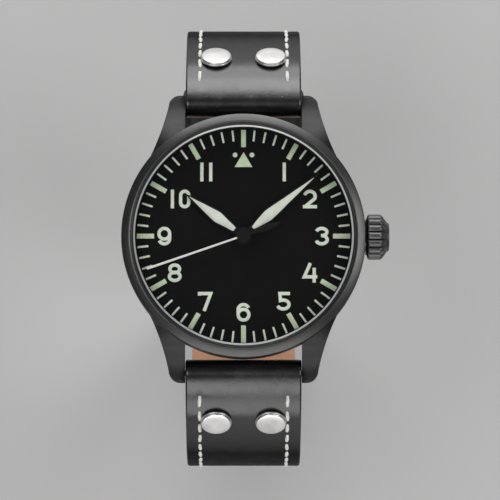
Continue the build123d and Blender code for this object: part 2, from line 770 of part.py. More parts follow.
def rotor():
    """Winding rotor: a half disc with a heavy rim, turning on the bridge's post."""
    web_top = bridge_bottom - ROTOR_GAP
    inner = ROTOR_RADIUS - ROTOR_RIM_WIDTH
    web = disc(ROTOR_RADIUS, web_top - ROTOR_WEB_THICKNESS, web_top, sides=HIDDEN_SIDES)
    rim = ring(ROTOR_RADIUS, inner, web_top - ROTOR_RIM_THICKNESS, web_top, HIDDEN_SIDES)
    side = 2 * (ROTOR_RADIUS + OVERRUN)
    weight = (web + rim) & Box(side, side, side, align=(Align.CENTER, Align.MAX, Align.CENTER))
    hub = disc(ROTOR_HUB_RADIUS, rotor_bottom, bridge_bottom - RUNNING_PLAY, sides=HEAD_SIDES)
    bore = ROTOR_POST_RADIUS + RUNNING_PLAY
    return weight + hub - disc(bore, 0, case_top, sides=PIN_SIDES, hole=True)


def rotor_screw():
    """Screw under the post that keeps the rotor on."""
    head_top = rotor_bottom - RUNNING_PLAY
    head = disc(ROTOR_POST_RADIUS + ROTOR_GAP, rotor_bottom - ROTOR_SCREW_HEAD, head_top, sides=PIN_SIDES)
    return head + disc(ROTOR_POST_RADIUS / 2, head_top, rotor_bottom, sides=PIN_SIDES)


def movement_holder():
    """Ring that centres the movement in the case, drilled for the stem."""
    holder = ring(case_bore - HOLDER_PLAY, MOVEMENT_RADIUS, holder_bottom, dial_bottom, HIDDEN_SIDES)
    return holder - along_x(stem_room, 0, case_radius, z=STEM_AXIS_HEIGHT, hole=True)


# Crown and winding


def flutes(scale):
    """Outline of the crown, seen from its end: flat crests with narrower grooves between them."""
    step = 2 * pi / CROWN_FLUTES
    points = []
    for index in range(CROWN_FLUTES):
        for turn, depth in ((-CROWN_FLUTE_SHARE, 0), (CROWN_FLUTE_SHARE, 0), (1 / 2, CROWN_FLUTE_DEPTH)):
            angle = (index + turn) * step
            radius = (CROWN_RADIUS - depth) * scale
            points.append((radius * cos(angle), radius * sin(angle)))
    return make_face(Polyline(*points, close=True))


def on_stem(piece, at=0):
    """Turns a piece drawn about Z so that it lies about the stem."""
    return Pos(at, 0, STEM_AXIS_HEIGHT) * Rot(0, 90, 0) * piece


def crown():
    """Fluted crown with a sloping shoulder and a domed cap, bored for the tube and the stem."""
    shoulder_end = CROWN_GRIP_LENGTH + CROWN_SHOULDER_LENGTH
    shrink = 1 - CROWN_SHOULDER_DROP / CROWN_RADIUS
    solid = extrude(flutes(1), CROWN_GRIP_LENGTH)
    shoulder = [Pos(0, 0, CROWN_GRIP_LENGTH) * flutes(1), Pos(0, 0, shoulder_end) * flutes(shrink)]
    solid += loft(shoulder, ruled=True)
    radius, height = CROWN_CAP_RADIUS, 0
    for radius_share, height_share in CROWN_DOME_SHARES:
        next_radius, next_height = CROWN_CAP_RADIUS * radius_share, CROWN_DOME * height_share
        lower = Pos(0, 0, shoulder_end + height) * RegularPolygon(radius, HEAD_SIDES)
        upper = Pos(0, 0, shoulder_end + next_height) * RegularPolygon(next_radius, HEAD_SIDES)
        solid += loft([lower, upper], ruled=True)
        radius, height = next_radius, next_height
    solid = on_stem(solid, case_radius + CROWN_GAP)
    solid -= along_x(CROWN_SKIRT_BORE, case_radius, crown_floor, 0, STEM_AXIS_HEIGHT, HEAD_SIDES, True)
    return solid - along_x(STEM_RADIUS, crown_floor - OVERRUN, stem_end, z=STEM_AXIS_HEIGHT, hole=True)


def crown_gasket():
    """Gasket in the crown's skirt that runs on the tube."""
    start = case_radius + CROWN_GAP + CROWN_FLOOR_GAP
    return on_stem(ring(CROWN_SKIRT_BORE, TUBE_RADIUS + RUNNING_PLAY, 0, TUBE_WALL, HEAD_SIDES), start)


def crown_tube():
    """Tube pressed into the case, on which the crown slides."""
    start, end = case_bore + THREAD_PLAY, case_radius + TUBE_PROUD
    return on_stem(ring(TUBE_RADIUS, TUBE_RADIUS - TUBE_WALL, 0, end - start, HEAD_SIDES), start)


def winding_stem():
    """Stem from the crown into the movement."""
    return along_x(STEM_RADIUS, STEM_INNER_END, stem_end, z=STEM_AXIS_HEIGHT)


def sliding_pinion():
    """Toothed clutch on the stem."""
    module = 2 * CLUTCH_RADIUS / (CLUTCH_TEETH + 2 * TOOTH_TIP_SHARE)
    bore = STEM_RADIUS + RUNNING_PLAY
    return on_stem(toothed(CLUTCH_TEETH, module, CLUTCH_LENGTH, 0, bore), CLUTCH_START)


# Spring bars


def bar_tube(y, z):
    """Tube of a spring bar with its axis parallel to X."""
    half = BAR_TUBE_LENGTH / 2
    bore = along_x(BAR_BORE, -case_radius, case_radius, y, z, hole=True)
    return along_x(BAR_RADIUS, -half, half, y, z) - bore


def bar_tip(y, z, half_gap):
    """Tip of a spring bar on the +X side, from inside the tube to the end of its hole."""
    return along_x(TIP_RADIUS, BAR_TUBE_LENGTH / 2 - TIP_TAIL, half_gap + TIP_REACH, y, z)


# Strap. A course is the outer face of a strap half in the Y-Z plane: where it starts, its slope
# below the horizontal there, and its runs as (radius, turn in degrees), or (0, length) if straight


def outward(slope):
    """Unit vector out of the strap where the course has this slope."""
    return Vector(0, sin(radians(slope)), cos(radians(slope)))


def onward(slope):
    """Unit vector along the course where it has this slope."""
    return Vector(0, cos(radians(slope)), -sin(radians(slope)))


def stations(course):
    """Start point, start slope, radius and size of each run of a course."""
    point, slope, runs = course
    for radius, amount in runs:
        yield point, slope, radius, amount
        if radius:
            centre = point - outward(slope) * radius
            slope += amount
            point = centre + outward(slope) * radius
        else:
            point = point + onward(slope) * amount


def at_length(course, length):
    """Point on the outer face and slope there, at a length along the course."""
    for point, slope, radius, amount in stations(course):
        size = radius * radians(amount) if radius else amount
        if length <= size + LENGTH_SLACK:
            if not radius:
                return point + onward(slope) * length, slope
            turned_by = degrees(length / radius)
            centre = point - outward(slope) * radius
            return centre + outward(slope + turned_by) * radius, slope + turned_by
        length -= size
    raise ValueError("beyond the end of the course")


def course_length(course):
    """Whole length of a course."""
    return sum(radius * radians(amount) if radius else amount for radius, amount in course[2])


def part_of(course, start, end):
    """The stretch of a course between two lengths along it, as a course of its own."""
    point, slope = at_length(course, start)
    runs = []
    passed = 0
    for _, _, radius, amount in stations(course):
        size = radius * radians(amount) if radius else amount
        low, high = max(start - passed, 0), min(end - passed, size)
        if high > low:
            stretch = high - low
            runs.append((radius, degrees(stretch / radius)) if radius else (0, stretch))
        passed += size
    return point, slope, runs


def line_at(course, depth):
    """Edges of the line that runs a depth below the outer face."""
    edges = []
    for point, slope, radius, amount in stations(course):
        start = point - outward(slope) * depth
        if radius:
            centre = point - outward(slope) * radius
            middle = centre + outward(slope + amount / 2) * (radius - depth)
            end = centre + outward(slope + amount) * (radius - depth)
            edges.append(ThreePointArc(start, middle, end))
        else:
            edges.append(Line(start, start + onward(slope) * amount))
    return edges


def band(course, upper, lower, width=STRAP_WIDTH):
    """A layer of the strap between two depths below the outer face."""
    top, bottom = line_at(course, upper), line_at(course, lower)
    ends = [Line(top[0] @ 0, bottom[0] @ 0), Line(top[-1] @ 1, bottom[-1] @ 1)]
    return extrude(make_face(top + bottom + ends), width / 2, dir=(1, 0, 0), both=True)


# Courses of the two strap halves, and the bars they turn on
lug_bar = Vector(0, bar_offset, BAR_HEIGHT)
strap_start = lug_bar + outward(FOLD_SLOPE) * fold_radius
short_course = (
    strap_start,
    FOLD_SLOPE,
    [
        (FOLD_BEND_RADIUS, RIVET_SLOPE - FOLD_SLOPE),
        (UPPER_CURVE_RADIUS, SHORT_CURL_FROM - RIVET_SLOPE),
        (SHORT_CURL_RADIUS, SHORT_CURL_TO - SHORT_CURL_FROM),
        (0, SHORT_STRAIGHT),
    ],
)
long_course = (
    strap_start,
    FOLD_SLOPE,
    [
        (FOLD_BEND_RADIUS, RIVET_SLOPE - FOLD_SLOPE),
        (UPPER_CURVE_RADIUS, LONG_CURL_TO - RIVET_SLOPE),
        (LONG_END_RADIUS, LONG_END_SLOPE - LONG_CURL_TO),
    ],
)
buckle_slope = SHORT_CURL_TO
buckle_bar = at_length(short_course, course_length(short_course))[0] - outward(buckle_slope) * fold_radius


def fold(bar, slope, back_to):
    """Half of a ring of leather round a bar. It starts on the outer side, goes round the end of
    the strap and comes back inside."""
    out = outward(slope)
    away = onward(slope) * back_to
    inner, outer = BAR_RADIUS + BAR_PLAY, fold_radius
    face = make_face(
        [
            ThreePointArc(bar + out * outer, bar + away * outer, bar - out * outer),
            Line(bar - out * outer, bar - out * inner),
            ThreePointArc(bar - out * inner, bar + away * inner, bar + out * inner),
            Line(bar + out * inner, bar + out * outer),
        ]
    )
    return extrude(face, STRAP_WIDTH / 2, dir=(1, 0, 0), both=True)


def flap(course, bar, slope, start, end):
    """Leather that comes back from the fold and lies along the lining. The first stretch closes
    the small step between the fold and the lining."""
    near, near_slope = at_length(course, start)
    out = outward(near_slope)
    corners = [
        bar - outward(slope) * (BAR_RADIUS + BAR_PLAY),
        bar - outward(slope) * fold_radius,
        near - out * flap_inside,
        near - out * strap_inside,
    ]
    step = extrude(make_face(Polyline(*corners, close=True)), STRAP_WIDTH / 2, dir=(1, 0, 0), both=True)
    low, high = min(start, end), max(start, end)
    return step + band(part_of(course, low, high), strap_inside, flap_inside)


def set_on(course, length, depth=0):
    """Location on the strap at a length along it: local Z points outwards, local Y onwards."""
    point, slope = at_length(course, length)
    return Pos(*(point - outward(slope) * depth)) * Rot(-slope, 0, 0)


def rivet(hole=False):
    """Rivet with a bevelled head on the outer side, a shank and a flat cap on the inner side. Its
    hole is the shank alone."""
    cap_top = -flap_inside - RIVET_CAP_GAP
    shank = disc(RIVET_POST_RADIUS, cap_top, 0, sides=PIN_SIDES, hole=hole)
    if hole:
        return shank
    head = disc(RIVET_HEAD_RADIUS, 0, RIVET_HEAD_HEIGHT, sides=HEAD_SIDES)
    head = chamfer(head.edges().group_by(Axis.Z)[-1], RIVET_HEAD_BEVEL)
    cap = disc(RIVET_CAP_RADIUS, cap_top - RIVET_CAP_HEIGHT, cap_top, sides=PIN_SIDES)
    return head + shank + cap


def rivets(course, hole=False):
    """The two rivets of a strap half, side by side, or their holes."""
    place = set_on(course, rivet_at)
    return [place * Pos(side * RIVET_ACROSS, 0, 0) * rivet(hole) for side in (1, -1)]


def short_strap():
    """Leather, lining and rivets of the half at 12 o'clock, which ends in the buckle."""
    course = short_course
    end = course_length(course)
    leather = band(course, 0, LEATHER) + fold(lug_bar, FOLD_SLOPE, -1)
    leather += flap(course, lug_bar, FOLD_SLOPE, FLAP_SETTLES_AT, FLAP_LENGTH)
    leather += fold(buckle_bar, buckle_slope, 1)
    leather += flap(course, buckle_bar, buckle_slope, end - FLAP_SETTLES_AT, end - BUCKLE_FLAP_LENGTH)
    lining = band(part_of(course, LINING_START, end - LINING_START), LEATHER, strap_inside)
    slot_width = TONGUE_WIDTH + 2 * TONGUE_SLOT_PLAY
    slot = Box(slot_width, 2 * TONGUE_SLOT_LENGTH, 2 * fold_radius + flap_inside * 2)
    slot = set_on(course, end, fold_radius) * slot
    for cutter in [slot] + rivets(course, True):
        leather -= cutter
        lining -= cutter
    return [leather, lining, keep(rivets(course))]


def long_strap():
    """Leather, lining and rivets of the half at 6 o'clock, built at 12 and mirrored."""
    course = long_course
    end = course_length(course)
    leather = band(course, 0, LEATHER) + fold(lug_bar, FOLD_SLOPE, -1)
    leather += flap(course, lug_bar, FOLD_SLOPE, FLAP_SETTLES_AT, FLAP_LENGTH)
    lining = band(part_of(course, LINING_START, end), LEATHER, strap_inside)
    half = STRAP_WIDTH / 2
    corner = make_face(
        [
            ThreePointArc((-half, -TIP_LENGTH), (0, 0), (half, -TIP_LENGTH)),
            Line((half, -TIP_LENGTH), (half + OVERRUN, -TIP_LENGTH)),
            Line((half + OVERRUN, -TIP_LENGTH), (half + OVERRUN, TIP_LENGTH)),
            Line((half + OVERRUN, TIP_LENGTH), (-half - OVERRUN, TIP_LENGTH)),
            Line((-half - OVERRUN, TIP_LENGTH), (-half - OVERRUN, -TIP_LENGTH)),
            Line((-half - OVERRUN, -TIP_LENGTH), (-half, -TIP_LENGTH)),
        ]
    )
    corner = set_on(course, end) * extrude(corner, 2 * flap_inside, both=True)
    cutters = [corner] + rivets(course, True)
    hole = disc(HOLE_RADIUS, -2 * flap_inside, flap_inside, sides=PIN_SIDES)
    for index in range(HOLE_COUNT):
        cutters.append(set_on(course, end - LAST_HOLE_FROM_TIP - index * HOLE_PITCH) * hole)
    for cutter in cutters:
        leather -= cutter
        lining -= cutter
    return [mirror(piece, Plane.XZ) for piece in (leather, lining, keep(rivets(course)))]


# Buckle and keepers


def on_buckle(piece):
    """Places a piece drawn with the buckle's bar along X at the origin, the frame towards +Y and
    the outer side up."""
    return Pos(*buckle_bar) * Rot(-buckle_slope, 0, 0) * piece


def buckle_frame():
    """Frame of the buckle: two sides with eyes for the bar, joined by the front bar."""
    low, high = -BUCKLE_HEIGHT / 2, BUCKLE_HEIGHT / 2
    outer = Box(2 * buckle_outer, BUCKLE_LENGTH + OVERRUN, BUCKLE_HEIGHT)
    outer = Pos(0, (BUCKLE_LENGTH - OVERRUN) / 2, 0) * outer
    corners = outer.edges().filter_by(Axis.Z).group_by(Axis.Y)[-1]
    outer = fillet(corners, BUCKLE_CORNER)
    outer = chamfer(outer.edges().group_by(Axis.Z)[-1], BUCKLE_BEVEL)
    inner_end = BUCKLE_LENGTH - BUCKLE_FRONT
    inner = Box(2 * buckle_inner, 2 * inner_end, 2 * BUCKLE_HEIGHT)
    behind = Pos(0, -BUCKLE_LENGTH, 0) * Box(3 * buckle_outer, 2 * BUCKLE_LENGTH, 2 * BUCKLE_HEIGHT)
    frame = outer - inner - behind
    for side in (1, -1):
        start, end = sorted((side * buckle_inner, side * (buckle_outer - BUCKLE_BEVEL)))
        frame += along_x(BUCKLE_EAR_RADIUS, start, end, sides=HEAD_SIDES)
    reach = buckle_inner + TIP_REACH + TIP_HOLE_PLAY
    return on_buckle(frame - along_x(TIP_RADIUS + TIP_HOLE_PLAY, -reach, reach, hole=True))


def buckle_tongue():
    """Tongue: an eye on the bar and a blade that rests on the front bar of the frame."""
    inner = BAR_RADIUS + RUNNING_PLAY
    outer = inner + TONGUE_THICKNESS
    rest = BUCKLE_HEIGHT / 2 + TONGUE_LIFT
    tip = BUCKLE_LENGTH + TONGUE_OVERHANG
    blade = [(0, 0, inner), (0, 0, outer), (0, outer, rest + TONGUE_THICKNESS)]
    blade += [(0, tip - TONGUE_THICKNESS, rest + TONGUE_THICKNESS), (0, tip, rest + TONGUE_THICKNESS / 2)]
    blade += [(0, tip, rest), (0, inner, rest)]
    solid = extrude(make_face(Polyline(*blade, close=True)), TONGUE_WIDTH / 2, dir=(1, 0, 0), both=True)
    half = TONGUE_WIDTH / 2
    solid += along_x(outer, -half, half, sides=HEAD_SIDES)
    return on_buckle(solid - along_x(inner, -half - OVERRUN, half + OVERRUN, hole=True))


def keeper(at):
    """Loop of leather round both strap halves, centred at a distance before the buckle's bar."""
    inner_width = STRAP_WIDTH + 2 * KEEPER_SIDE_PLAY
    inner_height = flap_inside + strap_inside + KEEPER_ROOM
    outer = Box(inner_width + 2 * KEEPER_THICKNESS, KEEPER_WIDTH, inner_height + 2 * KEEPER_THICKNESS)
    outer = fillet(outer.edges().filter_by(Axis.Y), KEEPER_ROUND + KEEPER_THICKNESS / 2)
    inner = Box(inner_width, 2 * KEEPER_WIDTH, inner_height)
    height = inner_height / 2 - flap_inside
    place = set_on(short_course, course_length(short_course) - at)
    return place * Pos(0, 0, height) * (outer - inner)


def fixed_keeper():
    """The keeper that is held near the buckle."""
    return keeper(FIXED_KEEPER_AT)


def free_keeper():
    """The keeper that slides. It rides a little clear of the strap's inner face."""
    at = BUCKLE_FLAP_LENGTH + FREE_KEEPER_GAP + KEEPER_WIDTH / 2
    _, slope = at_length(short_course, course_length(short_course) - at)
    drop = outward(slope) * (KEEPER_SIDE_PLAY / 2)
    return Pos(*drop) * keeper(at)


def all_parts():
    """Every node by name."""
    short_leather, short_lining, short_pins = short_strap()
    long_leather, long_lining, long_pins = long_strap()
    top_tip = bar_tip(bar_offset, BAR_HEIGHT, half_lug_gap)
    tail_tip = bar_tip(-bar_offset, BAR_HEIGHT, half_lug_gap)
    buckle_tip = bar_tip(buckle_bar.Y, buckle_bar.Z, buckle_inner)
    return {
        "case_body": case_body(),
        "bezel": bezel(),
        "crystal": crystal(),
        "inner_ring": inner_ring(),
        "case_back": case_back(),
        "dial": dial(),
        "dial_markers": dial_markers(),
        "hour_hand": hour_hand(),
        "hour_hand_lume": hour_hand_lume(),
        "hour_wheel": hour_wheel(),
        "minute_hand": minute_hand(),
        "minute_hand_lume": minute_hand_lume(),
        "cannon_pinion": cannon_pinion(),
        "minute_wheel": minute_wheel(),
        "seconds_hand": seconds_hand(),
        "seconds_hand_bar": seconds_hand_bar(),
        "seconds_arbor": seconds_arbor(),
        "main_plate": main_plate(),
        "train_bridge": train_bridge(),
        "bridge_screws": keep(bridge_screws()),
        "balance_cock": balance_cock(),
        "balance_wheel": balance_wheel(),
        "hairspring": hairspring(),
        "rotor": rotor(),
        "rotor_screw": rotor_screw(),
        "movement_holder": movement_holder(),
        "crown": crown(),
        "crown_gasket": crown_gasket(),
        "crown_tube": crown_tube(),
        "winding_stem": winding_stem(),
        "sliding_pinion": sliding_pinion(),
        "top_bar_tube": bar_tube(bar_offset, BAR_HEIGHT),
        "top_bar_tip_right": top_tip,
        "top_bar_tip_left": mirror(top_tip, Plane.YZ),
        "tail_bar_tube": bar_tube(-bar_offset, BAR_HEIGHT),
        "tail_bar_tip_right": tail_tip,
        "tail_bar_tip_left": mirror(tail_tip, Plane.YZ),
        "buckle_bar_tube": bar_tube(buckle_bar.Y, buckle_bar.Z),
        "buckle_bar_tip_right": buckle_tip,
        "buckle_bar_tip_left": mirror(buckle_tip, Plane.YZ),
        "strap_top_leather": short_leather,
        "strap_top_lining": short_lining,
        "strap_top_rivets": short_pins,
        "strap_tail_leather": long_leather,
        "strap_tail_lining": long_lining,
        "strap_tail_rivets": long_pins,
        "fixed_keeper": fixed_keeper(),
        "free_keeper": free_keeper(),
        "buckle_frame": buckle_frame(),
        "buckle_tongue": buckle_tongue(),
    }


def main():
    """Writes every node to its own file."""
    os.makedirs("parts", exist_ok=True)
    for name, solid in all_parts().items():
        export_step(solid, f"parts/{name}.step")


main()
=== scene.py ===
"""Pilot watch with a riveted leather strap: dresses the frame of its CAD model.

Lengths are in millimetres inside the shape functions and in metres in the scene. +X points to 3
o'clock, +Y to 12 o'clock and +Z out of the dial.
"""

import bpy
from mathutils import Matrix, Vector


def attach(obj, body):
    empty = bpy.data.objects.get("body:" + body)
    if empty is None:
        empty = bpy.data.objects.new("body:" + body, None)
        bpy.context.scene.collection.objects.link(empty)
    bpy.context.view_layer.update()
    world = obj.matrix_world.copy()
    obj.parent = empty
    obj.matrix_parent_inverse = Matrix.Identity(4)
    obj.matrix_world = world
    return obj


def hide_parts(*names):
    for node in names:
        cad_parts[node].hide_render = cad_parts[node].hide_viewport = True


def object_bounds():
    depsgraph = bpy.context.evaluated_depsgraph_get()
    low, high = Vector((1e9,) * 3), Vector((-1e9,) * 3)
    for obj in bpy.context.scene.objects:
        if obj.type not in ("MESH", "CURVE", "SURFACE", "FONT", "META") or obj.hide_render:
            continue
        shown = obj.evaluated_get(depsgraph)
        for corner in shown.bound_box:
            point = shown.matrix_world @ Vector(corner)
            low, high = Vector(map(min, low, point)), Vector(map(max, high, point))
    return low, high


bl_info = {
    "name": "Pilot watch",
    "version": (1, 0, 0),
    "blender": (4, 5, 0),
    "location": "3D View > Sidebar > Watch",
    "description": "Dresses the frame of a pilot watch with a riveted leather strap",
    "category": "Object",
}

import bmesh
import bpy
import numpy as np
from mathutils import Matrix

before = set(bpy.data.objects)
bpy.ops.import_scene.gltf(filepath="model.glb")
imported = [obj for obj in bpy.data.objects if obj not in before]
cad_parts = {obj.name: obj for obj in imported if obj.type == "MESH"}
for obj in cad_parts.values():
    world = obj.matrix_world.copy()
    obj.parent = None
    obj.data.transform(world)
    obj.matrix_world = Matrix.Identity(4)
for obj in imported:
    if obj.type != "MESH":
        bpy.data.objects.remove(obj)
CAD_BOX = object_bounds()
MM = 0.001

# Points nearer than this are one point, shorter edges are none, in metres, and edges sharper than
# this stay crisp, in degrees
SAME_PLACE, NO_LENGTH, SHARP = 2e-7, 1e-8, 38.0


# Sizes and colours that a user would change


def length(name, description, millimetres):
    """A length setting, given in millimetres and kept in metres."""
    return bpy.props.FloatProperty(
        name=name, description=description, default=millimetres * MM, unit="LENGTH", precision=5
    )


def colour(name, description, value):
    """A colour setting."""
    return bpy.props.FloatVectorProperty(
        name=name, description=description, default=value, subtype="COLOR", size=3, min=0, max=1
    )


def turn(name, description, degrees):
    """An angle setting, given in degrees and kept in radians."""
    return bpy.props.FloatProperty(
        name=name, description=description, default=np.radians(degrees), subtype="ANGLE", unit="ROTATION"
    )


class WatchCase(bpy.types.PropertyGroup):
    """Sizes and colours of the case, bezel, crystal and crown."""

    case_colour: colour("Case colour", "Dark coating of the case", (0.031, 0.031, 0.031))
    bezel_colour: colour("Bezel colour", "Dark coating of the bezel", (0.078, 0.078, 0.077))
    edge_round: length("Edge rounding", "Rounding of the case's edges", 0.14)
    bezel_crest: length("Crest radius", "Radius of the bezel's crest", 19.6)
    bezel_outer: length("Bezel radius", "Outer radius of the bezel", 20.9)
    bezel_inner: length("Bezel opening", "Inner radius of the bezel", 18.92)
    crown_radius: length("Crown radius", "Radius of the crown's ribs", 3.9)
    crown_ribs: bpy.props.IntProperty(name="Ribs", description="Number of ribs round the crown", default=16)


class WatchDial(bpy.types.PropertyGroup):
    """Sizes and colours of the dial and its markers."""

    dial_colour: colour("Dial colour", "Matt black of the dial", (0.0035, 0.0035, 0.0035))
    bar_colour: colour("Bar colour", "Filling of the hour bars and the triangle", (0.53, 0.63, 0.44))
    number_colour: colour("Number colour", "Filling of the numbers and minute lines", (0.65, 0.72, 0.6))
    track_outer: length("Track radius", "Outer end of the hour bars", 18.34)
    bar_length: length("Bar length", "Length of the hour bars", 3.0)
    bar_width: length("Bar width", "Width of the hour bars", 0.84)
    tick_length: length("Minute line", "Length of the minute lines", 1.9)
    tick_width: length("Minute line width", "Width of the minute lines", 0.35)
    number_height: length("Number height", "Height of the numbers", 3.24)
    number_stroke: length("Stroke", "Width of the numbers' strokes", 0.59)


class WatchHands(bpy.types.PropertyGroup):
    """Angles and colours of the hands."""

    hour_angle: turn("Hour hand", "Angle of the hour hand from 12, clockwise", 306.0)
    minute_angle: turn("Minute hand", "Angle of the minute hand from 12, clockwise", 50.5)
    seconds_angle: turn("Seconds hand", "Angle of the seconds hand from 12, clockwise", 251.0)
    lume_colour: colour("Filling", "Filling of the hands", (0.655, 0.70, 0.61))
    white_colour: colour("White", "White of the seconds hand", (0.74, 0.75, 0.71))


class WatchStrap(bpy.types.PropertyGroup):
    """Sizes and colours of the strap, its stitches, rivets and buckle."""

    width: length("Width", "Width of the strap", 20.0)
    stitch_across: length("Seam place", "Distance of the seams from the middle", 7.6)
    stitch_pitch: length("Pitch", "Distance between stitches", 3.35)
    thread_width: length("Thread width", "Thickness of the thread", 0.62)
    rivet_radius: length("Rivet radius", "Radius of the rivet heads", 2.7)
    leather_colour: colour("Leather", "Black outer leather", (0.0055, 0.0055, 0.0058))
    lining_colour: colour("Lining", "Tan lining leather", (0.44, 0.205, 0.095))
    thread_colour: colour("Thread", "Pale thread", (0.7, 0.7, 0.66))
    rivet_colour: colour("Rivets", "Bare steel of the rivets", (0.72, 0.71, 0.7))


class WatchStage(bpy.types.PropertyGroup):
    """Place of the camera and colours of the floor and light."""

    camera_distance: length("Distance", "Distance of the camera from the bezel", 600.0)
    camera_tilt: turn("Tilt", "Tilt of the camera towards 6 o'clock", 4.2)
    view_width: length("View width", "Width of the view at the bezel", 85.4)
    floor_colour: colour("Floor", "Pale floor", (0.46, 0.46, 0.46))
    world_light: bpy.props.FloatProperty(
        name="World light", description="Strength of the world", default=0.13
    )


SETTINGS = {
    "watch_case": WatchCase,
    "watch_dial": WatchDial,
    "watch_hands": WatchHands,
    "watch_strap": WatchStrap,
    "watch_stage": WatchStage,
}


# Surfaces


def full_turn(count):
    """Angles of a full turn in equal steps, in radians."""
    return np.linspace(0, 2 * np.pi, count, endpoint=False)


def grid_faces(rows, columns, wrap_rows=False):
    """Quads between the neighbours of a grid of points numbered row by row. Each row is a ring."""
    i, j = np.arange(rows if wrap_rows else rows - 1)[:, None], np.arange(columns)
    below, right = (i + 1) % rows, (j + 1) % columns
    corners = [i * columns + j, i * columns + right, below * columns + right, below * columns + j]
    return np.stack(corners, -1).reshape(-1, 4)


def repeated(points, faces):
    """Many copies of one shape: points has one row of points per copy."""
    copies, count = points.shape[:2]
    shifts = np.arange(copies)[:, None, None] * count
    return points.reshape(-1, 3), (np.asarray(faces)[None] + shifts).reshape(-1, 4)


def joined(*shapes):
    """Several (points, faces) shapes as one."""
    starts = np.cumsum([0] + [len(points) for points, _ in shapes])
    points = np.concatenate([points for points, _ in shapes])
    return points, np.concatenate([faces + start for (_, faces), start in zip(shapes, starts)])


def soften(corners, cut, steps=4):
    """A closed outline whose corners are cut back and bridged by parabolas. For a corner P between
    the cut points A and B, a point is (1-s)(1-s)A + 2s(1-s)P + s s B."""
    corners = np.asarray(corners, float)
    cut = np.broadcast_to(np.asarray(cut, float), len(corners))[:, None]
    before, after = np.roll(corners, 1, 0) - corners, np.roll(corners, -1, 0) - corners
    start = corners + before / np.linalg.norm(before, axis=1)[:, None] * cut
    end = corners + after / np.linalg.norm(after, axis=1)[:, None] * cut
    s = np.linspace(0, 1, steps + 1)[None, :, None]
    curve = (1 - s) ** 2 * start[:, None] + 2 * s * (1 - s) * corners[:, None] + s**2 * end[:, None]
    return curve.reshape(-1, corners.shape[1])


def closed_ends(rows):
    """Sections with one more at each end, which has shrunk to its own centre."""
    ends = rows[..., [0, -1], :, :]
    ends = ends.mean(-2, keepdims=True) + 0 * ends
    return np.concatenate([ends[..., :1, :, :], rows, ends[..., 1:, :, :]], -3)


def tube(rows, wrap_rows=False):
    """Closed sections joined into a skin: rows is (sections, points of a section, 3)."""
    if not wrap_rows:
        rows = closed_ends(rows)
    return rows.reshape(-1, 3), grid_faces(*rows.shape[:2], wrap_rows)


def lathe(profile, sides=360):
    """Surface of revolution: the point (radius, height) of a closed profile at the angle a lies at
    (radius cos a, radius sin a, height)."""
    radius, height = np.asarray(profile, float).T
    a = full_turn(sides)[:, None]
    return tube(np.stack([radius * np.cos(a), radius * np.sin(a), height + 0 * a], -1), True)


def skin(name, shape):
    """A mesh from (points, faces), with its doubles merged and its normals outwards."""
    mesh = bpy.data.meshes.new(name)
    mesh.from_pydata((np.asarray(shape[0]) * MM).tolist(), [], np.asarray(shape[1]).tolist())
    work = bmesh.new()
    work.from_mesh(mesh)
    bmesh.ops.remove_doubles(work, verts=work.verts, dist=SAME_PLACE)
    bmesh.ops.dissolve_degenerate(work, edges=work.edges, dist=NO_LENGTH)
    bmesh.ops.recalc_face_normals(work, faces=work.faces)
    work.to_mesh(mesh)
    work.free()
    return mesh


def smooth(mesh, sharp=SHARP):
    """Smooth faces, with the edges sharper than an angle in degrees left crisp."""
    mesh.polygons.foreach_set("use_smooth", np.ones(len(mesh.polygons), bool))
    mesh.set_sharp_from_angle(angle=np.radians(sharp))


def linked(name, data):
    """An object of the scene with this mesh, lamp or camera."""
    piece = bpy.data.objects.new(name, data)
    bpy.context.scene.collection.objects.link(piece)
    return piece


def place(name, shape, finishes, body, replaces=(), sharp=SHARP, pick=None):
    """Makes a piece from (points, faces) that rides on a body. pick gives each face's finish from
    its centre."""
    mesh = skin(name, shape)
    for finish in finishes if isinstance(finishes, list) else [finishes]:
        mesh.materials.append(finish)
    if pick:
        centres = np.empty(len(mesh.polygons) * 3)
        mesh.polygons.foreach_get("center", centres)
        mesh.polygons.foreach_set("material_index", pick(centres.reshape(-1, 3) / MM).astype(np.int32))
    smooth(mesh, sharp)
    piece = linked(name, mesh)
    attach(piece, body)
    if replaces:
        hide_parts(*replaces)
    return piece


def cut(pieces, cutter):
    """Cuts a closed shape out of pieces."""
    tool = linked("cutter", skin("cutter", cutter))
    for piece in pieces:
        step = piece.modifiers.new("cut", "BOOLEAN")
        step.object, step.operation, step.solver = tool, "DIFFERENCE", "EXACT"
        seen = piece.evaluated_get(bpy.context.evaluated_depsgraph_get())
        result = bpy.data.meshes.new_from_object(seen)
        piece.modifiers.remove(step)
        piece.data = result
        smooth(result)
    bpy.data.objects.remove(tool)


# Finishes


def shade(value, factor):
    """A colour made lighter or darker."""
    return tuple(min(1.0, part * factor) for part in value)


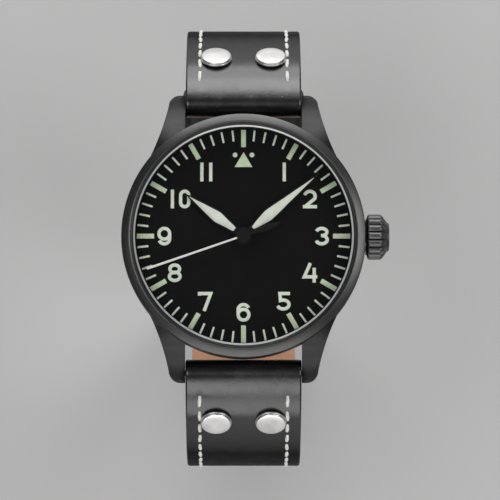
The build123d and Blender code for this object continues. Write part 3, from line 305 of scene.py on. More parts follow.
class Finish:
    """A procedural material. Its nodes are added one after another, and an input is given a number,
    a colour or another node's output. at is the place on the piece, in metres."""

    def __init__(self, name, **surface):
        self.material = bpy.data.materials.new(name)
        self.material.use_nodes = True
        self.tree = self.material.node_tree
        self.surface = self.tree.nodes["Principled BSDF"]
        self.fill(self.surface, surface)
        self.at = self.add("TexCoord")["Object"]

    def fill(self, node, values):
        """Gives a node's inputs their values. A name is the socket's own, in small letters, or i and
        its number."""
        sockets = {socket.name.lower().replace(" ", "_"): socket for socket in reversed(node.inputs)}
        for name, value in values.items():
            socket = node.inputs[int(name[1:])] if name[1:].isdigit() else sockets[name]
            if isinstance(value, bpy.types.NodeSocket):
                self.tree.links.new(value, socket)
            elif hasattr(socket.default_value, "__len__") and len(socket.default_value) == 4:
                socket.default_value = (*value, 1.0)
            else:
                socket.default_value = value

    def add(self, kind, settings=None, **values):
        """A node of one kind. Its outputs are returned."""
        node = self.tree.nodes.new("ShaderNode" + kind)
        for name, value in (settings or {}).items():
            setattr(node, name, value)
        self.fill(node, values)
        return node.outputs

    def noise(self, scale, detail=3, roughness=0.55, stretch=None, at=None):
        """Cloudy pattern with grains of about 1 / scale metres, stretched by three factors."""
        at = self.at if at is None else at
        if stretch:
            at = self.add("Mapping", vector=at, scale=stretch)["Vector"]
        return self.add("TexNoise", vector=at, scale=scale, detail=detail, roughness=roughness)["Fac"]

    def cells(self, scale):
        """Pattern of rounded cells of about 1 / scale metres."""
        return self.add("TexVoronoi", vector=self.at, scale=scale)["Distance"]

    def between(self, value, low, high, start=0.0, end=1.0, way="LINEAR"):
        """A value from start to end brought to low to high, evenly or with soft ends."""
        sockets = {"i0": value, "i1": start, "i2": end, "i3": low, "i4": high}
        return self.add("MapRange", {"interpolation_type": way}, **sockets)["Result"]

    def sum(self, first, second, operation="ADD"):
        """Two values added, or brought together by another operation."""
        return self.add("Math", {"operation": operation}, i0=first, i1=second)["Value"]

    def blend(self, share, first, second):
        """Two colours blended by a share."""
        return self.add("Mix", {"data_type": "RGBA"}, i0=share, i6=first, i7=second)[2]

    def tinted(self, pattern, base, dark, light, start=0.3, end=0.7):
        """A colour times dark to light, as a pattern goes from start to end."""
        share = self.between(pattern, 0.0, 1.0, start, end)
        return self.blend(share, shade(base, dark), shade(base, light))

    def done(self, relief, millimetres, strength, **surface):
        """Gives the surface its last values and a relief, whose height is given in millimetres, and
        returns the material."""
        bump = self.add("Bump", height=relief, distance=millimetres * MM, strength=strength)
        self.fill(self.surface, {**surface, "normal": bump["Normal"]})
        return self.material


def dark_metal(name, base, brushed, roughness=0.33, fine=900.0):
    """Dark coated metal. Fine lines run along one direction of the piece, and their relief, shade
    and gloss vary a little. brushed is "round" for circles about Z, or the three stretches."""
    finish = Finish(name, metallic=1.0)
    if brushed == "round":
        parts = finish.add("SeparateXYZ", vector=finish.at)
        flat = finish.add("Mapping", vector=finish.at, scale=(1, 1, 0))["Vector"]
        radius = finish.add("VectorMath", {"operation": "LENGTH"}, i0=flat)["Value"]
        angle = finish.sum(parts["Y"], parts["X"], "ARCTAN2")
        slow = finish.sum(angle, 0.0009, "MULTIPLY")
        round_at = finish.add("CombineXYZ", x=radius, y=slow, z=parts["Z"])["Vector"]
        lines = finish.noise(fine, 3, 0.6, (14, 1, 5), round_at)
    else:
        lines = finish.noise(fine, 3, 0.6, brushed)
    cloud = finish.noise(160.0, 2)
    tone = finish.tinted(lines, base, 0.86, 1.12, 0.35, 0.7)
    wear = finish.sum(lines, finish.sum(cloud, 0.4, "MULTIPLY"))
    gloss = finish.between(wear, roughness - 0.06, roughness + 0.1, 0.4, 1.0)
    return finish.done(lines, 0.004, 0.6, base_color=tone, roughness=gloss)


def leather(name, base, grain, roughness):
    """Smooth finished leather: shallow pebbles between fine creases, pores and uneven polish. Its
    shine fades where the strap turns down, and its roughness grows."""
    finish = Finish(name)
    height = finish.add("SeparateXYZ", vector=finish.at)["Z"]
    creases = finish.noise(420.0, 5, 0.62)
    pores = finish.between(finish.cells(900.0), 0.0, 1.0, 0.06, 0.16)
    cloud = finish.noise(70.0, 3)
    relief = finish.sum(finish.sum(finish.cells(1500.0), 0.35, "MULTIPLY"), finish.sum(creases, pores))
    tone = finish.tinted(cloud, base, 0.8, 1.25)
    tone = finish.blend(finish.between(pores, 0.35, 0.0), tone, shade(base, 0.5))
    gloss = finish.between(finish.sum(cloud, creases), roughness - 0.05, roughness + 0.09, 0.7, 1.3)
    gloss = finish.sum(gloss, finish.between(height, -0.1, 0.12, 0.002, -0.01))
    shine = finish.between(height, 0.8, 0.02, 0.002, -0.011, "SMOOTHSTEP")
    shine = finish.sum(shine, finish.between(height, 0.0, 0.35, -0.024, -0.045))
    values = {"base_color": tone, "roughness": gloss, "specular_ior_level": shine}
    return finish.done(relief, 0.03 * grain, 0.55, **values)


def suede(name, base):
    """Lining leather: soft nap with a light sheen and cloudy colour."""
    finish = Finish(name, specular_ior_level=0.25, sheen_weight=0.3, sheen_roughness=0.5)
    nap = finish.noise(1800.0, 5, 0.7)
    tone = finish.tinted(finish.noise(110.0, 4), base, 0.85, 1.12)
    tone = finish.blend(finish.between(nap, 0.0, 0.35, 0.4, 0.7), tone, shade(base, 0.7))
    return finish.done(nap, 0.05, 0.8, base_color=tone, roughness=0.82)


def paint(name, base, roughness=0.6, grain=2600.0, relief=0.006, speckle=0.12, shine=0.35):
    """Printed or filled colour with fine grains."""
    finish = Finish(name, specular_ior_level=shine)
    grains = finish.noise(grain, 4, 0.7)
    mixed = finish.sum(grains, finish.noise(500.0, 2))
    tone = finish.tinted(mixed, base, 1 - speckle, 1 + speckle, 0.75, 1.25)
    return finish.done(grains, relief, 0.7, base_color=tone, roughness=roughness)


def thread_finish(name, base):
    """Waxed thread: a fine twist of fibres."""
    finish = Finish(name, specular_ior_level=0.3, sheen_weight=0.2)
    fibres = finish.noise(1600.0, 4, 0.7, (3, 1, 1))
    tone = finish.tinted(fibres, base, 0.7, 1.15, 0.3, 0.65)
    return finish.done(fibres, 0.03, 0.8, base_color=tone, roughness=0.75)


def bright_metal(name, base, roughness=0.3, lines=(1, 1, 1), fine=1500.0):
    """Bare metal with fine lines and faint spots."""
    finish = Finish(name, metallic=1.0)
    scratches = finish.noise(fine, 3, 0.6, lines)
    cloud = finish.noise(260.0, 3)
    tone = finish.tinted(cloud, base, 0.88, 1.05)
    gloss = finish.between(finish.sum(scratches, cloud), roughness - 0.08, roughness + 0.12, 0.7, 1.3)
    return finish.done(scratches, 0.003, 0.6, base_color=tone, roughness=gloss)


def clear_glass(name):
    """Clear plate with a faint even gloss."""
    finish = Finish(name, base_color=(0.02, 0.02, 0.02), roughness=0.03, alpha=0.05)
    return finish.done(finish.noise(40.0, 1), 0.001, 0.2)


def glass_edge_highlight(name):
    """Bevel of the crystal: half clear, and pale as a painted highlight of the light on its edge."""
    finish = Finish(name, alpha=0.82, coat_weight=0.6, coat_roughness=0.08)
    grains = finish.noise(3000.0, 3)
    tone = finish.blend(grains, (0.36, 0.37, 0.37), (0.5, 0.51, 0.51))
    return finish.done(grains, 0.004, 0.4, base_color=tone, roughness=0.4)


def rubber(name, base):
    """Moulded rubber or plastic with a faint haze."""
    finish = Finish(name)
    haze = finish.noise(700.0, 4)
    tone = finish.tinted(haze, base, 0.8, 1.3, 0.0, 1.0)
    gloss = finish.between(haze, 0.5, 0.7)
    return finish.done(haze, 0.01, 0.5, base_color=tone, roughness=gloss)


# Case, bezel, crystal, crown


# Heights of the case's rim, the bezel, the crystal, the dial and the crown's axis, and the
# crystal's radius, as in the CAD model
CASE_RIM, BEZEL_TOP, CRYSTAL_LOW, CRYSTAL_TOP, DIAL_TOP, CROWN_AXIS = 8.22, 10.8, 9.4, 11.2, 7.8, 5.3
CRYSTAL_RADIUS = 18.86

# Turned outline of the crown: place along X, radius and depth of the grooves, and the cap's rise
CROWN_OUTLINE = [
    (21.02, 3.05, 0), (21.2, 3.15, 0.02), (21.3, 3.6, 0.2), (21.4, 3.78, 0.42), (21.55, 3.87, 0.55),
    (21.75, 3.9, 0.62), (22.2, 3.9, 0.64), (22.7, 3.9, 0.64), (23.2, 3.9, 0.64), (23.5, 3.88, 0.63),
    (23.7, 3.8, 0.6), (23.9, 3.62, 0.5), (24.15, 3.3, 0.32), (24.4, 2.95, 0.14), (24.6, 2.65, 0.02),
    (24.68, 2.5, 0),
]
CAP_RISE = 0.42


def dress(node, finish, bevel=0.0, segments=2):
    """Gives a CAD node its finish, smooth faces and softly rounded edges."""
    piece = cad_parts[node]
    for slot in piece.material_slots:
        slot.material = finish
    if not piece.material_slots:
        piece.data.materials.append(finish)
    piece.modifiers.new("weld", "WELD").merge_threshold = SAME_PLACE
    if bevel:
        edge = piece.modifiers.new("edge", "BEVEL")
        edge.width, edge.segments, edge.limit_method = bevel * MM, segments, "ANGLE"
        edge.angle_limit = np.radians(SHARP)
    smooth(piece.data)


def ribbed(radius, ribs, columns_per_rib=14):
    """Crown along X. Its radius at the length x and angle a is R(x) - D(x) (1 - |cos(n a / 2)| ^ 0.45),
    where R is the turned outline, D the depth of the grooves and n the number of ribs. The cap is
    half an ellipse."""
    x, outline, depth = np.array(CROWN_OUTLINE).T
    cap = np.linspace(0, 1, 9)[1:]
    x = np.append(x, x[-1] + CAP_RISE * np.sqrt(1 - (1 - cap) ** 2))
    full = outline.max()
    outline = np.append(outline, outline[-1] * np.sqrt(1 - cap**2) + 1e-4) / full
    depth = np.append(depth, 0 * cap)
    angle = full_turn(ribs * columns_per_rib)
    wave = 1 - np.abs(np.cos(ribs * angle / 2)) ** 0.45
    around = radius * outline[:, None] - depth[:, None] * wave
    rows = [x[:, None] + 0 * around, around * np.cos(angle), around * np.sin(angle) + CROWN_AXIS]
    return tube(np.stack(rows, -1))


class WATCH_OT_case(bpy.types.Operator):
    """Case, case back and the works that the case hides."""

    bl_idname = "watch.case"
    bl_label = "Case"

    def execute(self, context):
        look = context.scene.watch_case
        metal = dark_metal("Dark coating", look.case_colour, (3, 3, 40), 0.34)
        dress("case_body", metal, look.edge_round / MM)
        dress("case_back", dark_metal("Back coating", look.case_colour, "round", 0.32), 0.1)
        steel = bright_metal("Works steel", (0.6, 0.6, 0.58), 0.3, (1, 12, 1))
        brass = bright_metal("Works brass", (0.62, 0.47, 0.23), 0.32, (1, 12, 1))
        plate = bright_metal("Plate nickel", (0.55, 0.53, 0.48), 0.34, (14, 1, 1))
        works = {
            "hour_wheel cannon_pinion minute_wheel balance_wheel": brass,
            "seconds_arbor hairspring rotor_screw winding_stem sliding_pinion crown_tube": steel,
            "main_plate train_bridge balance_cock rotor bridge_screws": plate,
            "movement_holder": rubber("Holder plastic", (0.05, 0.05, 0.055)),
            "crown_gasket": rubber("Gasket rubber", (0.015, 0.015, 0.015)),
        }
        for nodes, finish in works.items():
            for node in nodes.split():
                dress(node, finish)
        return {"FINISHED"}


class WATCH_OT_bezel(bpy.types.Operator):
    """Bezel with its brushed slope, crystal with its edge painted pale as a highlight, and the ring under it.
    """

    bl_idname = "watch.bezel"
    bl_label = "Bezel and crystal"

    def execute(self, context):
        look = context.scene.watch_case
        crest, outer, inner = (v / MM for v in (look.bezel_crest, look.bezel_outer, look.bezel_inner))
        brushed = dark_metal("Bezel brushing", look.bezel_colour, "round", 0.3, 1300.0)
        polished = dark_metal("Bezel polish", shade(look.bezel_colour, 0.95), "round", 0.34)
        corners = [
            (inner, CASE_RIM), (inner, 10.46), (crest - 0.34, 10.64), (crest - 0.3, 10.54),
            (crest - 0.22, 10.7), (crest, BEZEL_TOP), (outer, 10.25), (outer, CASE_RIM),
        ]
        ring = lathe(soften(corners, [0.05, 0.1, 0.02, 0.02, 0.02, 0.08, 0.16, 0.05], 5), 480)
        inside = lambda centres: np.hypot(centres[:, 0], centres[:, 1]) < crest - 0.02
        place("bezel_ring", ring, [brushed, polished], "case", ["bezel"], 50, inside)
        edge, rim = CRYSTAL_RADIUS, CRYSTAL_RADIUS - 0.3
        corners = [(0, CRYSTAL_LOW), (edge, CRYSTAL_LOW), (edge, 10.98), (rim, CRYSTAL_TOP), (0, CRYSTAL_TOP)]
        glass = lathe(soften(corners, [0, 0.04, 0.03, 0.05, 0], 3))
        bevel = lambda centres: np.hypot(centres[:, 0], centres[:, 1]) > rim - 0.02
        # The crystal's bevel faces get a pale colour: a painted highlight of the light on its edge.
        finishes = [clear_glass("Crystal"), glass_edge_highlight("Crystal edge highlight")]
        place("crystal_plate", glass, finishes, "case", ["crystal"], 30, bevel)
        matt = paint("Ring black", context.scene.watch_dial.dial_colour, 0.5)
        low, high = DIAL_TOP, CRYSTAL_LOW - 0.02
        wall = lathe(soften([(18.58, low), (18.88, low), (18.88, high), (18.66, high)], 0.04, 3))
        place("chapter_wall", wall, matt, "case", ["inner_ring"])
        return {"FINISHED"}


class WATCH_OT_crown(bpy.types.Operator):
    """Ribbed crown with a domed cap."""

    bl_idname = "watch.crown"
    bl_label = "Crown"

    def execute(self, context):
        look = context.scene.watch_case
        # The crown's colour is the case colour made 3.4 times lighter: painted light, so that the crown looks
        # lit.
        metal = dark_metal("Grip coating with painted light", shade(look.case_colour, 3.4), (1, 4, 4), 0.38)
        shape = ribbed(look.crown_radius / MM, look.crown_ribs)
        place("crown_grip", shape, metal, "crown", ["crown"], 60)
        return {"FINISHED"}


# Dial, markers and hands


# The marks stand on this height, a little under the dial's face
MARK_BASE = DIAL_TOP - 0.01


def with_height(flat, height):
    """Adds a third coordinate to (x, y): one for all, or one for each section or point."""
    return np.concatenate([flat, np.broadcast_to(height, flat.shape[:-1] + (1,))], -1)


def from_twelve(across, along, angle):
    """Places (x, y) of a shape that points to 12, turned clockwise by an angle in radians."""
    x = across * np.cos(angle) + along * np.sin(angle)
    return x, along * np.cos(angle) - across * np.sin(angle)


def raised(rim, height, edge, shares):
    """Sections of a raised mark: its rim again and again, one above another and each a little
    smaller, so that the top edge is round. shares says by what part of it the top is smaller."""
    levels = np.linspace(0, np.pi / 2, 4)
    smaller = np.append(0, 1 - np.cos(levels))[:, None, None] * shares
    heights = np.append(0, height - edge + edge * np.sin(levels))[:, None, None]
    return with_height(rim * (1 - smaller), heights)


def pad(width, length, height, edge=0.07, corner=0.06):
    """Sections of a raised bar with rounded corners, centred at the origin."""
    half = np.array([width, length]) / 2
    signs = np.array([(-1, -1), (1, -1), (1, 1), (-1, 1)])[:, None]
    a = np.radians([180, 270, 0, 90])[:, None] + np.linspace(0, np.pi / 2, 4)
    rim = signs * (half - corner) + corner * np.stack([np.cos(a), np.sin(a)], -1)
    return raised(rim.reshape(-1, 2), height, edge, edge / half)


def around_dial(sections, angles, radius):
    """Copies of a shape round the dial at angles in degrees clockwise from 12, standing on it."""
    points, faces = tube(sections)
    a = np.radians(np.asarray(angles, float))[:, None]
    x, y = from_twelve(points[:, 0], points[:, 1] + radius, a)
    return repeated(np.stack([x, y, points[:, 2] + MARK_BASE + 0 * x], -1), faces)


def arc(cx, cy, rx, ry, start, end, count=16):
    """Points of an ellipse from one angle to another, in degrees."""
    a = np.radians(np.linspace(start, end, count))
    return np.stack([cx + rx * np.cos(a), cy + ry * np.sin(a)], -1)


def stroke(line, width, height, closed=False, edge=0.08):
    """A painted stroke: a low section with rounded shoulders carried along a line. At each point it
    lies across the mean direction of the two runs that meet there."""
    run = np.roll(line, -1, 0) - line if closed else np.diff(line, axis=0)
    run /= np.linalg.norm(run, axis=1)[:, None]
    before = np.roll(run, 1, 0) if closed else np.vstack([run[:1], run])
    after = run if closed else np.vstack([run, run[-1:]])
    both = before + after
    left = np.stack([-both[:, 1], both[:, 0]], -1)
    left /= np.maximum(1 + (before * after).sum(1), 0.25)[:, None]
    half, near = width / 2, edge * 0.3
    across = np.array([half, half, half - near, half - edge])
    up = np.array([0, height - edge, height - near, height])
    across, up = np.append(-across, across[::-1]), np.append(up, up[::-1])
    return tube(with_height(line[:, None] + left[:, None] * across[:, None], up[:, None] + MARK_BASE), closed)


def digit_lines(digit, h, w):
    """Middle lines of a plain engineering digit, as (points, closed) pairs. h and w are half of the
    height and width between the middle lines. A 9 is a 6 turned upside down."""
    way, bowl = -1 if digit == "9" else 1, arc(-0.1, -h * 0.42, w * 1.09, h * 0.58, 118, -162)
    six = [
        (way * arc(0, w - h, w, w, 0, 360, 33)[:-1], True),
        (way * np.vstack([arc(0, h - w * 0.95, w, w * 0.95, 22, 180), [(-w, w - h)]]), False),
    ]
    return {
        "0": [(np.vstack([arc(0, h - w, w, w, 0, 180), arc(0, w - h, w, w, 180, 360)]), True)],
        "1": [([(0, -h - 0.29), (0, h + 0.29)], False)],
        "2": [
            (np.vstack([arc(0, h - w * 0.95, w, w * 0.95, 165, -28), [(-w * 0.92, -h)]]), False),
            ([(-w - 0.3, -h), (w + 0.3, -h)], False),
        ],
        "3": [
            (arc(-0.08, h * 0.53, w * 0.98, h * 0.47, 166, -80), False),
            (arc(-0.08, -h * 0.46, w * 1.04, h * 0.54, 80, -166), False),
            ([(-0.2, h * 0.065), (0.25, h * 0.065)], False),
        ],
        "4": [
            ([(h * 0.13, h * 1.25), (-h * 0.66, -h * 0.53), (h * 1.02, -h * 0.53)], False),
            ([(h * 0.62, h * 0.64), (h * 0.62, -h * 1.27)], False),
        ],
        "5": [(np.vstack([[(w + 0.15, h), (-w * 0.72, h)], bowl]), False)],
        "6": six,
        "7": [([(-w - 0.12, h - 0.35), (-w - 0.12, h), (w * 0.95, h), (-0.25, -h - 0.35)], False)],
        "8": [
            (arc(0, h * 0.5, w * 0.9, h * 0.5, 0, 360, 29)[:-1], True),
            (arc(0, -h * 0.47, w, h * 0.53, 0, 360, 33)[:-1], True),
        ],
        "9": six,
    }[digit]


# Half widths of a digit's middle lines, where the digits of a pair stand, and the numbers' centres
DIGIT, NARROW_DIGIT = 0.92, 0.7
PAIRS = {"10": (-1.42, 0.7), "11": (-0.76, 0.76)}
NUMBERS = {
    "1": (7.0, 11.05), "2": (11.4, 6.4), "3": (13.5, 0.0), "4": (11.3, -6.3), "5": (6.9, -11.2),
    "6": (0.0, -13.1), "7": (-6.5, -11.2), "8": (-11.8, -6.3), "9": (-13.6, 0.0), "10": (-10.8, 6.4),
    "11": (-6.4, 11.05),
}


def number(text, centre, height, width):
    """The strokes of a number on the dial. Where two cross, their heights differ a little."""
    shapes = []
    for digit, shift in zip(text, PAIRS.get(text, (0.0,))):
        lines = digit_lines(digit, height / 2 - width / 2, NARROW_DIGIT if digit == "0" else DIGIT)
        for line, closed in lines:
            high = 0.1 + 0.006 * (len(shapes) % 4)
            shapes.append(stroke(np.array(line) + (centre[0] + shift, centre[1]), width, high, closed))
    return joined(*shapes)


class WATCH_OT_dial(bpy.types.Operator):
    """Dial plate with its minute track, hour bars, triangle, dots and numbers."""

    bl_idname = "watch.dial"
    bl_label = "Dial"

    def execute(self, context):
        look = context.scene.watch_dial
        outer, bar, tick = (v / MM for v in (look.track_outer, look.bar_length, look.tick_length))
        black = paint("Dial black", look.dial_colour, 0.62, 1800.0, 0.004, 0.2, 0.06)
        hole, rim, low = 1.2, 18.78, DIAL_TOP - 0.4
        plate = soften([(hole, low), (rim, low), (rim, DIAL_TOP), (hole, DIAL_TOP)], 0.05, 3)
        place("dial_plate", lathe(plate, 240), black, "case", ["dial"])
        green = paint("Bar filling", look.bar_colour, 0.6, 3200.0, 0.02, 0.14)
        pale = paint("Number filling", look.number_colour, 0.6, 3200.0, 0.012, 0.1)
        minutes = np.arange(60)
        on_hour = minutes % 5 == 0
        bars = around_dial(pad(look.bar_width / MM, bar, 0.13), minutes[on_hour] * 6, outer - bar / 2)
        rim = soften([(-1.55, 11.9), (1.55, 11.9), (0, 14.5)], 0.08, 3)
        middle = rim.mean(0)
        triangle = around_dial(raised(rim - middle, 0.13, 0.07, 0.07), [0], middle[1])
        line = pad(look.tick_width / MM, tick, 0.09, 0.05)
        lines = around_dial(line, minutes[~on_hour] * 6, outer - 0.02 - tick / 2)
        height, width = look.number_height / MM, look.number_stroke / MM
        numbers = joined(*[number(text, centre, height, width) for text, centre in NUMBERS.items()])
        corners = [(0, MARK_BASE), (0.42, MARK_BASE), (0.42, DIAL_TOP + 0.09), (0, DIAL_TOP + 0.12)]
        dot, faces = lathe(soften(corners, [0, 0.02, 0.05, 0], 3), 24)
        dots = repeated(np.stack([dot + (x, 14.0, 0) for x in (-1.45, 1.45)]), faces)
        place("hour_bars", joined(bars, triangle), green, "case", ["dial_markers"], 60)
        for name, shape in (("minute_lines", lines), ("dial_numbers", numbers), ("dial_dots", dots)):
            place(name, shape, pale, "case", (), 60)
        return {"FINISHED"}


def leaf(outline, low, high, angle, edge=0.05, count=70):
    """A long thin blade. Its outline is (radius, width), between which the width changes smoothly,
    and its section is a low shape with rounded shoulders. angle is in radians clockwise from 12."""
    radii, widths = np.array(outline).T
    share = np.linspace(0, 1, count)
    r = radii[0] + (radii[-1] - radii[0]) * share
    half = np.interp(r, radii, widths) / 2
    half = np.convolve(np.pad(half, 2, "edge"), np.ones(5) / 5, "valid")[:, None]
    cutback = np.minimum(edge, half * 0.5)
    across = np.concatenate([-half, -half, -half + cutback, 0 * half, half - cutback, half, half], 1)
    up = np.array([low, high - edge, high, high + edge * 0.3, high, high - edge, low]) + 0 * half
    along = r[:, None] + 0 * across
    return tube(np.stack([*from_twelve(across, along, angle), up], -1))


def button(radius, low, high, edge=0.08, hole=0.0):
    """A turned cap with a rounded edge."""
    corners = [(hole, low), (radius, low), (radius, high), (hole, high)]
    return lathe(soften(corners, [0, 0.02, edge, 0]), 96)


# Fillings of the hands as (radius, width), and the tail of the seconds hand
HOUR_LUME = [
    (1.9, 0.7), (2.3, 1.0), (3.4, 1.25), (4.5, 1.6), (5.5, 1.95), (6.5, 1.68), (7.6, 1.34), (8.6, 1.05),
    (9.6, 0.7), (10.7, 0.35), (11.4, 0.12),
]
MINUTE_LUME = [
    (2.1, 0.55), (2.6, 0.9), (3.4, 1.25), (4.5, 1.62), (5.5, 1.97), (6.5, 1.79), (7.6, 1.62), (8.6, 1.42),
    (9.6, 1.18), (10.7, 1.02), (11.7, 0.87), (12.7, 0.67), (13.7, 0.48), (14.8, 0.32), (15.6, 0.1),
]
SECONDS_TAIL = [
    (-6.6, 0.3), (-5.6, 0.85), (-4.5, 1.1), (-3.0, 0.8), (-1.6, 0.5), (-0.6, 0.55), (0.5, 0.6), (0.8, 0.5),
]
SECONDS_BAR = [(0.5, 0.3), (1.0, 0.33), (16.9, 0.4), (17.5, 0.36)]

# Undersides of the three hands, and their thickness
HOUR_LOW, MINUTE_LOW, SECONDS_LOW, HAND = 8.25, 8.67, 9.09, 0.16


class WATCH_OT_hands(bpy.types.Operator):
    """Hour, minute and seconds hands with their fillings."""

    bl_idname = "watch.hands"
    bl_label = "Hands"

    def execute(self, context):
        look = context.scene.watch_hands
        black = paint("Hand black", (0.006, 0.006, 0.006), 0.5, 2400.0, 0.003, 0.15, 0.12)
        filling = paint("Hand filling", look.lume_colour, 0.62, 3600.0, 0.02, 0.1)
        white = paint("Hand white", look.white_colour, 0.4, 2400.0, 0.004, 0.06)
        hands = (
            ("hour", HOUR_LOW, look.hour_angle, HOUR_LUME, 12.0, 1.5),
            ("minute", MINUTE_LOW, look.minute_angle, MINUTE_LUME, 16.8, 1.35),
        )
        for name, low, angle, lume, tip, hub in hands:
            root = [(0.2, 1.1), (lume[0][0] - 0.3, 1.25)]
            outline = root + [(radius, width + 0.5) for radius, width in lume[1:]] + [(tip, 0.12)]
            blade = leaf(outline, low, low + HAND, angle)
            round_hub = button(hub, low - 0.02, low + 0.2, 0.06, 0.4)
            node = name + "_hand"
            place(name + "_blade", joined(blade, round_hub), black, name, [node], 50)
            filled = leaf(lume, low + 0.1, low + 0.2, angle, 0.07)
            place(name + "_filling", filled, filling, name, [node + "_lume"], 50)
        low, angle = SECONDS_LOW, look.seconds_angle
        tail = leaf(SECONDS_TAIL, low, low + HAND, angle)
        hub = button(1.2, low - 0.02, low + 0.24, 0.1)
        pin = button(0.45, low + 0.2, low + 0.34, 0.08)
        place("seconds_tail", joined(tail, hub, pin), black, "seconds", ["seconds_hand"], 50)
        bar = leaf(SECONDS_BAR, low + 0.02, low + HAND + 0.01, angle, 0.06)
        place("seconds_pointer", bar, white, "seconds", ["seconds_hand_bar"], 50)
        return {"FINISHED"}


# Strap


# Depths under the outer face: back of the leather, back of the lining and free side of a flap. FOLD
# is the outer radius of the leather round a bar, and LUG_BAR is the lug bar's place (y, z).
LEATHER, LINING, SECOND = 1.3, 2.5, 3.8
FOLD = 2.4
LUG_BAR = np.array([23.4, 2.6])

# Stretches of a half from the lug on: the slopes at both ends in degrees below the horizontal, and
# the radius, or the length where it is straight
FIRST_BEND = (17.0, 54.0, 15.0)
SHORT_BENDS = [FIRST_BEND, (54.0, 80.0, 38.0), (80.0, 134.0, 28.0), (134.0, 134.0, 21.0)]
LONG_BENDS = [FIRST_BEND, (54.0, 110.0, 38.0), (110.0, 123.0, 300.0)]
START = LUG_BAR + FOLD * np.array([np.sin(np.radians(FIRST_BEND[0])), np.cos(np.radians(FIRST_BEND[0]))])

# Lengths of the flaps at the lug and the buckle, and over what length they rise to the turn round
# the bar
FLAP, BUCKLE_FLAP, FLAP_RISE = 15.0, 12.5, 4.0

# Tip: its length, how far from its end the last hole is, the holes' pitch, number and radius, and how
# far from its end the seam begins to turn
TIP, LAST_HOLE, HOLE_PITCH, HOLES, HOLE_RADIUS, SEAM_TURN = 9.5, 26.0, 6.5, 6, 1.0, 9.9

# Rivets: place along the strap, distance from the middle and radius of the head as drawn
RIVET_AT, RIVET_ACROSS, RIVET_HEAD = 9.05, 4.75, 2.7

# Lining: how far from the bars it starts, and how much narrower it is on each side
LINING_START, LINING_IN = 1.3, 0.06

# Keepers: thickness, half length, half of the inner width, gap above and below the strap, and the
# distances of the fixed and the free one from the buckle's bar
KEEPER, KEEPER_HALF, KEEPER_INSIDE, KEEPER_GAP, FIXED_AT, FREE_AT = 1.1, 2.75, 10.2, 0.25, 9.0, 16.45


class Course:
    """Line of a strap half's outer face in the Y-Z plane. Along each stretch the slope below the
    horizontal changes evenly, so its radius is constant; the place is the running sum of the
    direction. side is 1 for the 12 o'clock half and -1 for its mirror image."""

    def __init__(self, bends, side):
        self.side = side
        spans = [radius * np.radians(b - a) if b > a else radius for a, b, radius in bends]
        ends = np.cumsum([0] + spans)
        slopes = np.radians([bends[0][0]] + [b for _, b, _ in bends])
        self.end = ends[-1]
        self.s = np.linspace(0, self.end, 4001)
        self.slope = np.interp(self.s, ends, slopes)
        step = self.s[1]
        middle = (self.slope[1:] + self.slope[:-1]) / 2
        self.y = START[0] + np.append(0, np.cumsum(np.cos(middle)) * step)
        self.z = START[1] - np.append(0, np.cumsum(np.sin(middle)) * step)

    def at(self, s, depth=0.0):
        """Place (y, z) at a length and a depth under the outer face."""
        out = self.out(s)
        line = np.stack([np.interp(s, self.s, self.y) * self.side, np.interp(s, self.s, self.z)], -1)
        return line - out * np.asarray(depth)[..., None]

    def out(self, s):
        """Direction (y, z) out of the strap at a length."""
        slope = np.interp(s, self.s, self.slope)
        return np.stack([np.sin(slope) * self.side, np.cos(slope)], -1)

    def on(self, s):
        """Direction (y, z) along the strap at a length."""
        slope = np.interp(s, self.s, self.slope)
        return np.stack([np.cos(slope) * self.side, -np.sin(slope)], -1)


SHORT = Course(SHORT_BENDS, 1)
LONG = Course(LONG_BENDS, -1)


def round_bar(course, s, bar, way, count=23):
    """Outer face line of leather that goes round a bar at an end of the course, from the outer side
    to the inner side. way is 1 if it turns from the course's end and -1 from its start."""
    a = np.linspace(0, np.pi, count + 2)[1:-1, None]
    direction = course.out(s) * np.cos(a) + way * course.on(s) * np.sin(a)
    return bar + direction * FOLD, direction, np.full(count, s)


def flap_line(course, s, from_bar):
    """Outer face line of a flap, at the lengths s. It lies against the lining, and rises evenly to
    the turn near the bar."""
    near = 1 - np.clip(from_bar / FLAP_RISE, 0, 1)
    depth = SECOND + (2 * FOLD - SECOND) * near**2 * (3 - 2 * near)
    return course.at(s, depth), -course.out(s), s


def strip(course, folded_end):
    """Outer face line of one leather: the flap at the lug, the turn round the bar, the course and,
    on the short half, the turn round the buckle's bar and its flap. Returns places, directions and
    lengths along the course."""
    s, along = np.linspace(FLAP, 0, 50), np.linspace(0, course.end, 260)
    turn = round_bar(course, 0.0, LUG_BAR * (course.side, 1), -1)
    parts = [flap_line(course, s, s), [values[::-1] for values in turn]]
    parts.append((course.at(along), course.out(along), along))
    if folded_end:
        bar, back = course.at(course.end, FOLD), np.linspace(0, BUCKLE_FLAP, 46)
        parts += [round_bar(course, course.end, bar, 1), flap_line(course, course.end - back, back)]
    return [np.concatenate(columns) for columns in zip(*parts)]


def section(half, thickness, groove_at=0.0, edge=0.4, count=64):
    """Closed section of leather as (across, depth): a face with rounded edges and a shallow pressed
    line beside each seam, and a back with smaller rounding."""
    u = np.sin(np.linspace(-np.pi / 2, np.pi / 2, count))
    across = half * u
    rounding = lambda e: e * (1 - np.sqrt(1 - np.clip((np.abs(across) - half + e) / e, 0, 1) ** 2))
    front = rounding(edge) * 0.8
    if groove_at:
        front = front + 0.09 * np.exp(-(((np.abs(across) - groove_at) / 0.42) ** 2))
    back = thickness - rounding(0.2)
    return np.concatenate([np.stack([across, front], -1), np.stack([across, back], -1)[::-1]])


def swept(places, outs, outline, widths=1.0, thin=1.0):
    """An outline (across, depth) carried along a line: a point lies across along X and its depth
    against the outward direction. widths narrows it and thin thins it towards the outer face."""
    widths, thin = (np.broadcast_to(values, len(places))[:, None] for values in (widths, thin))
    x, depth = outline[..., 0] * widths, outline[..., 1] * thin
    yz = places[:, None] - outs[:, None] * depth[..., None]
    return tube(np.concatenate([x[..., None], yz], -1))


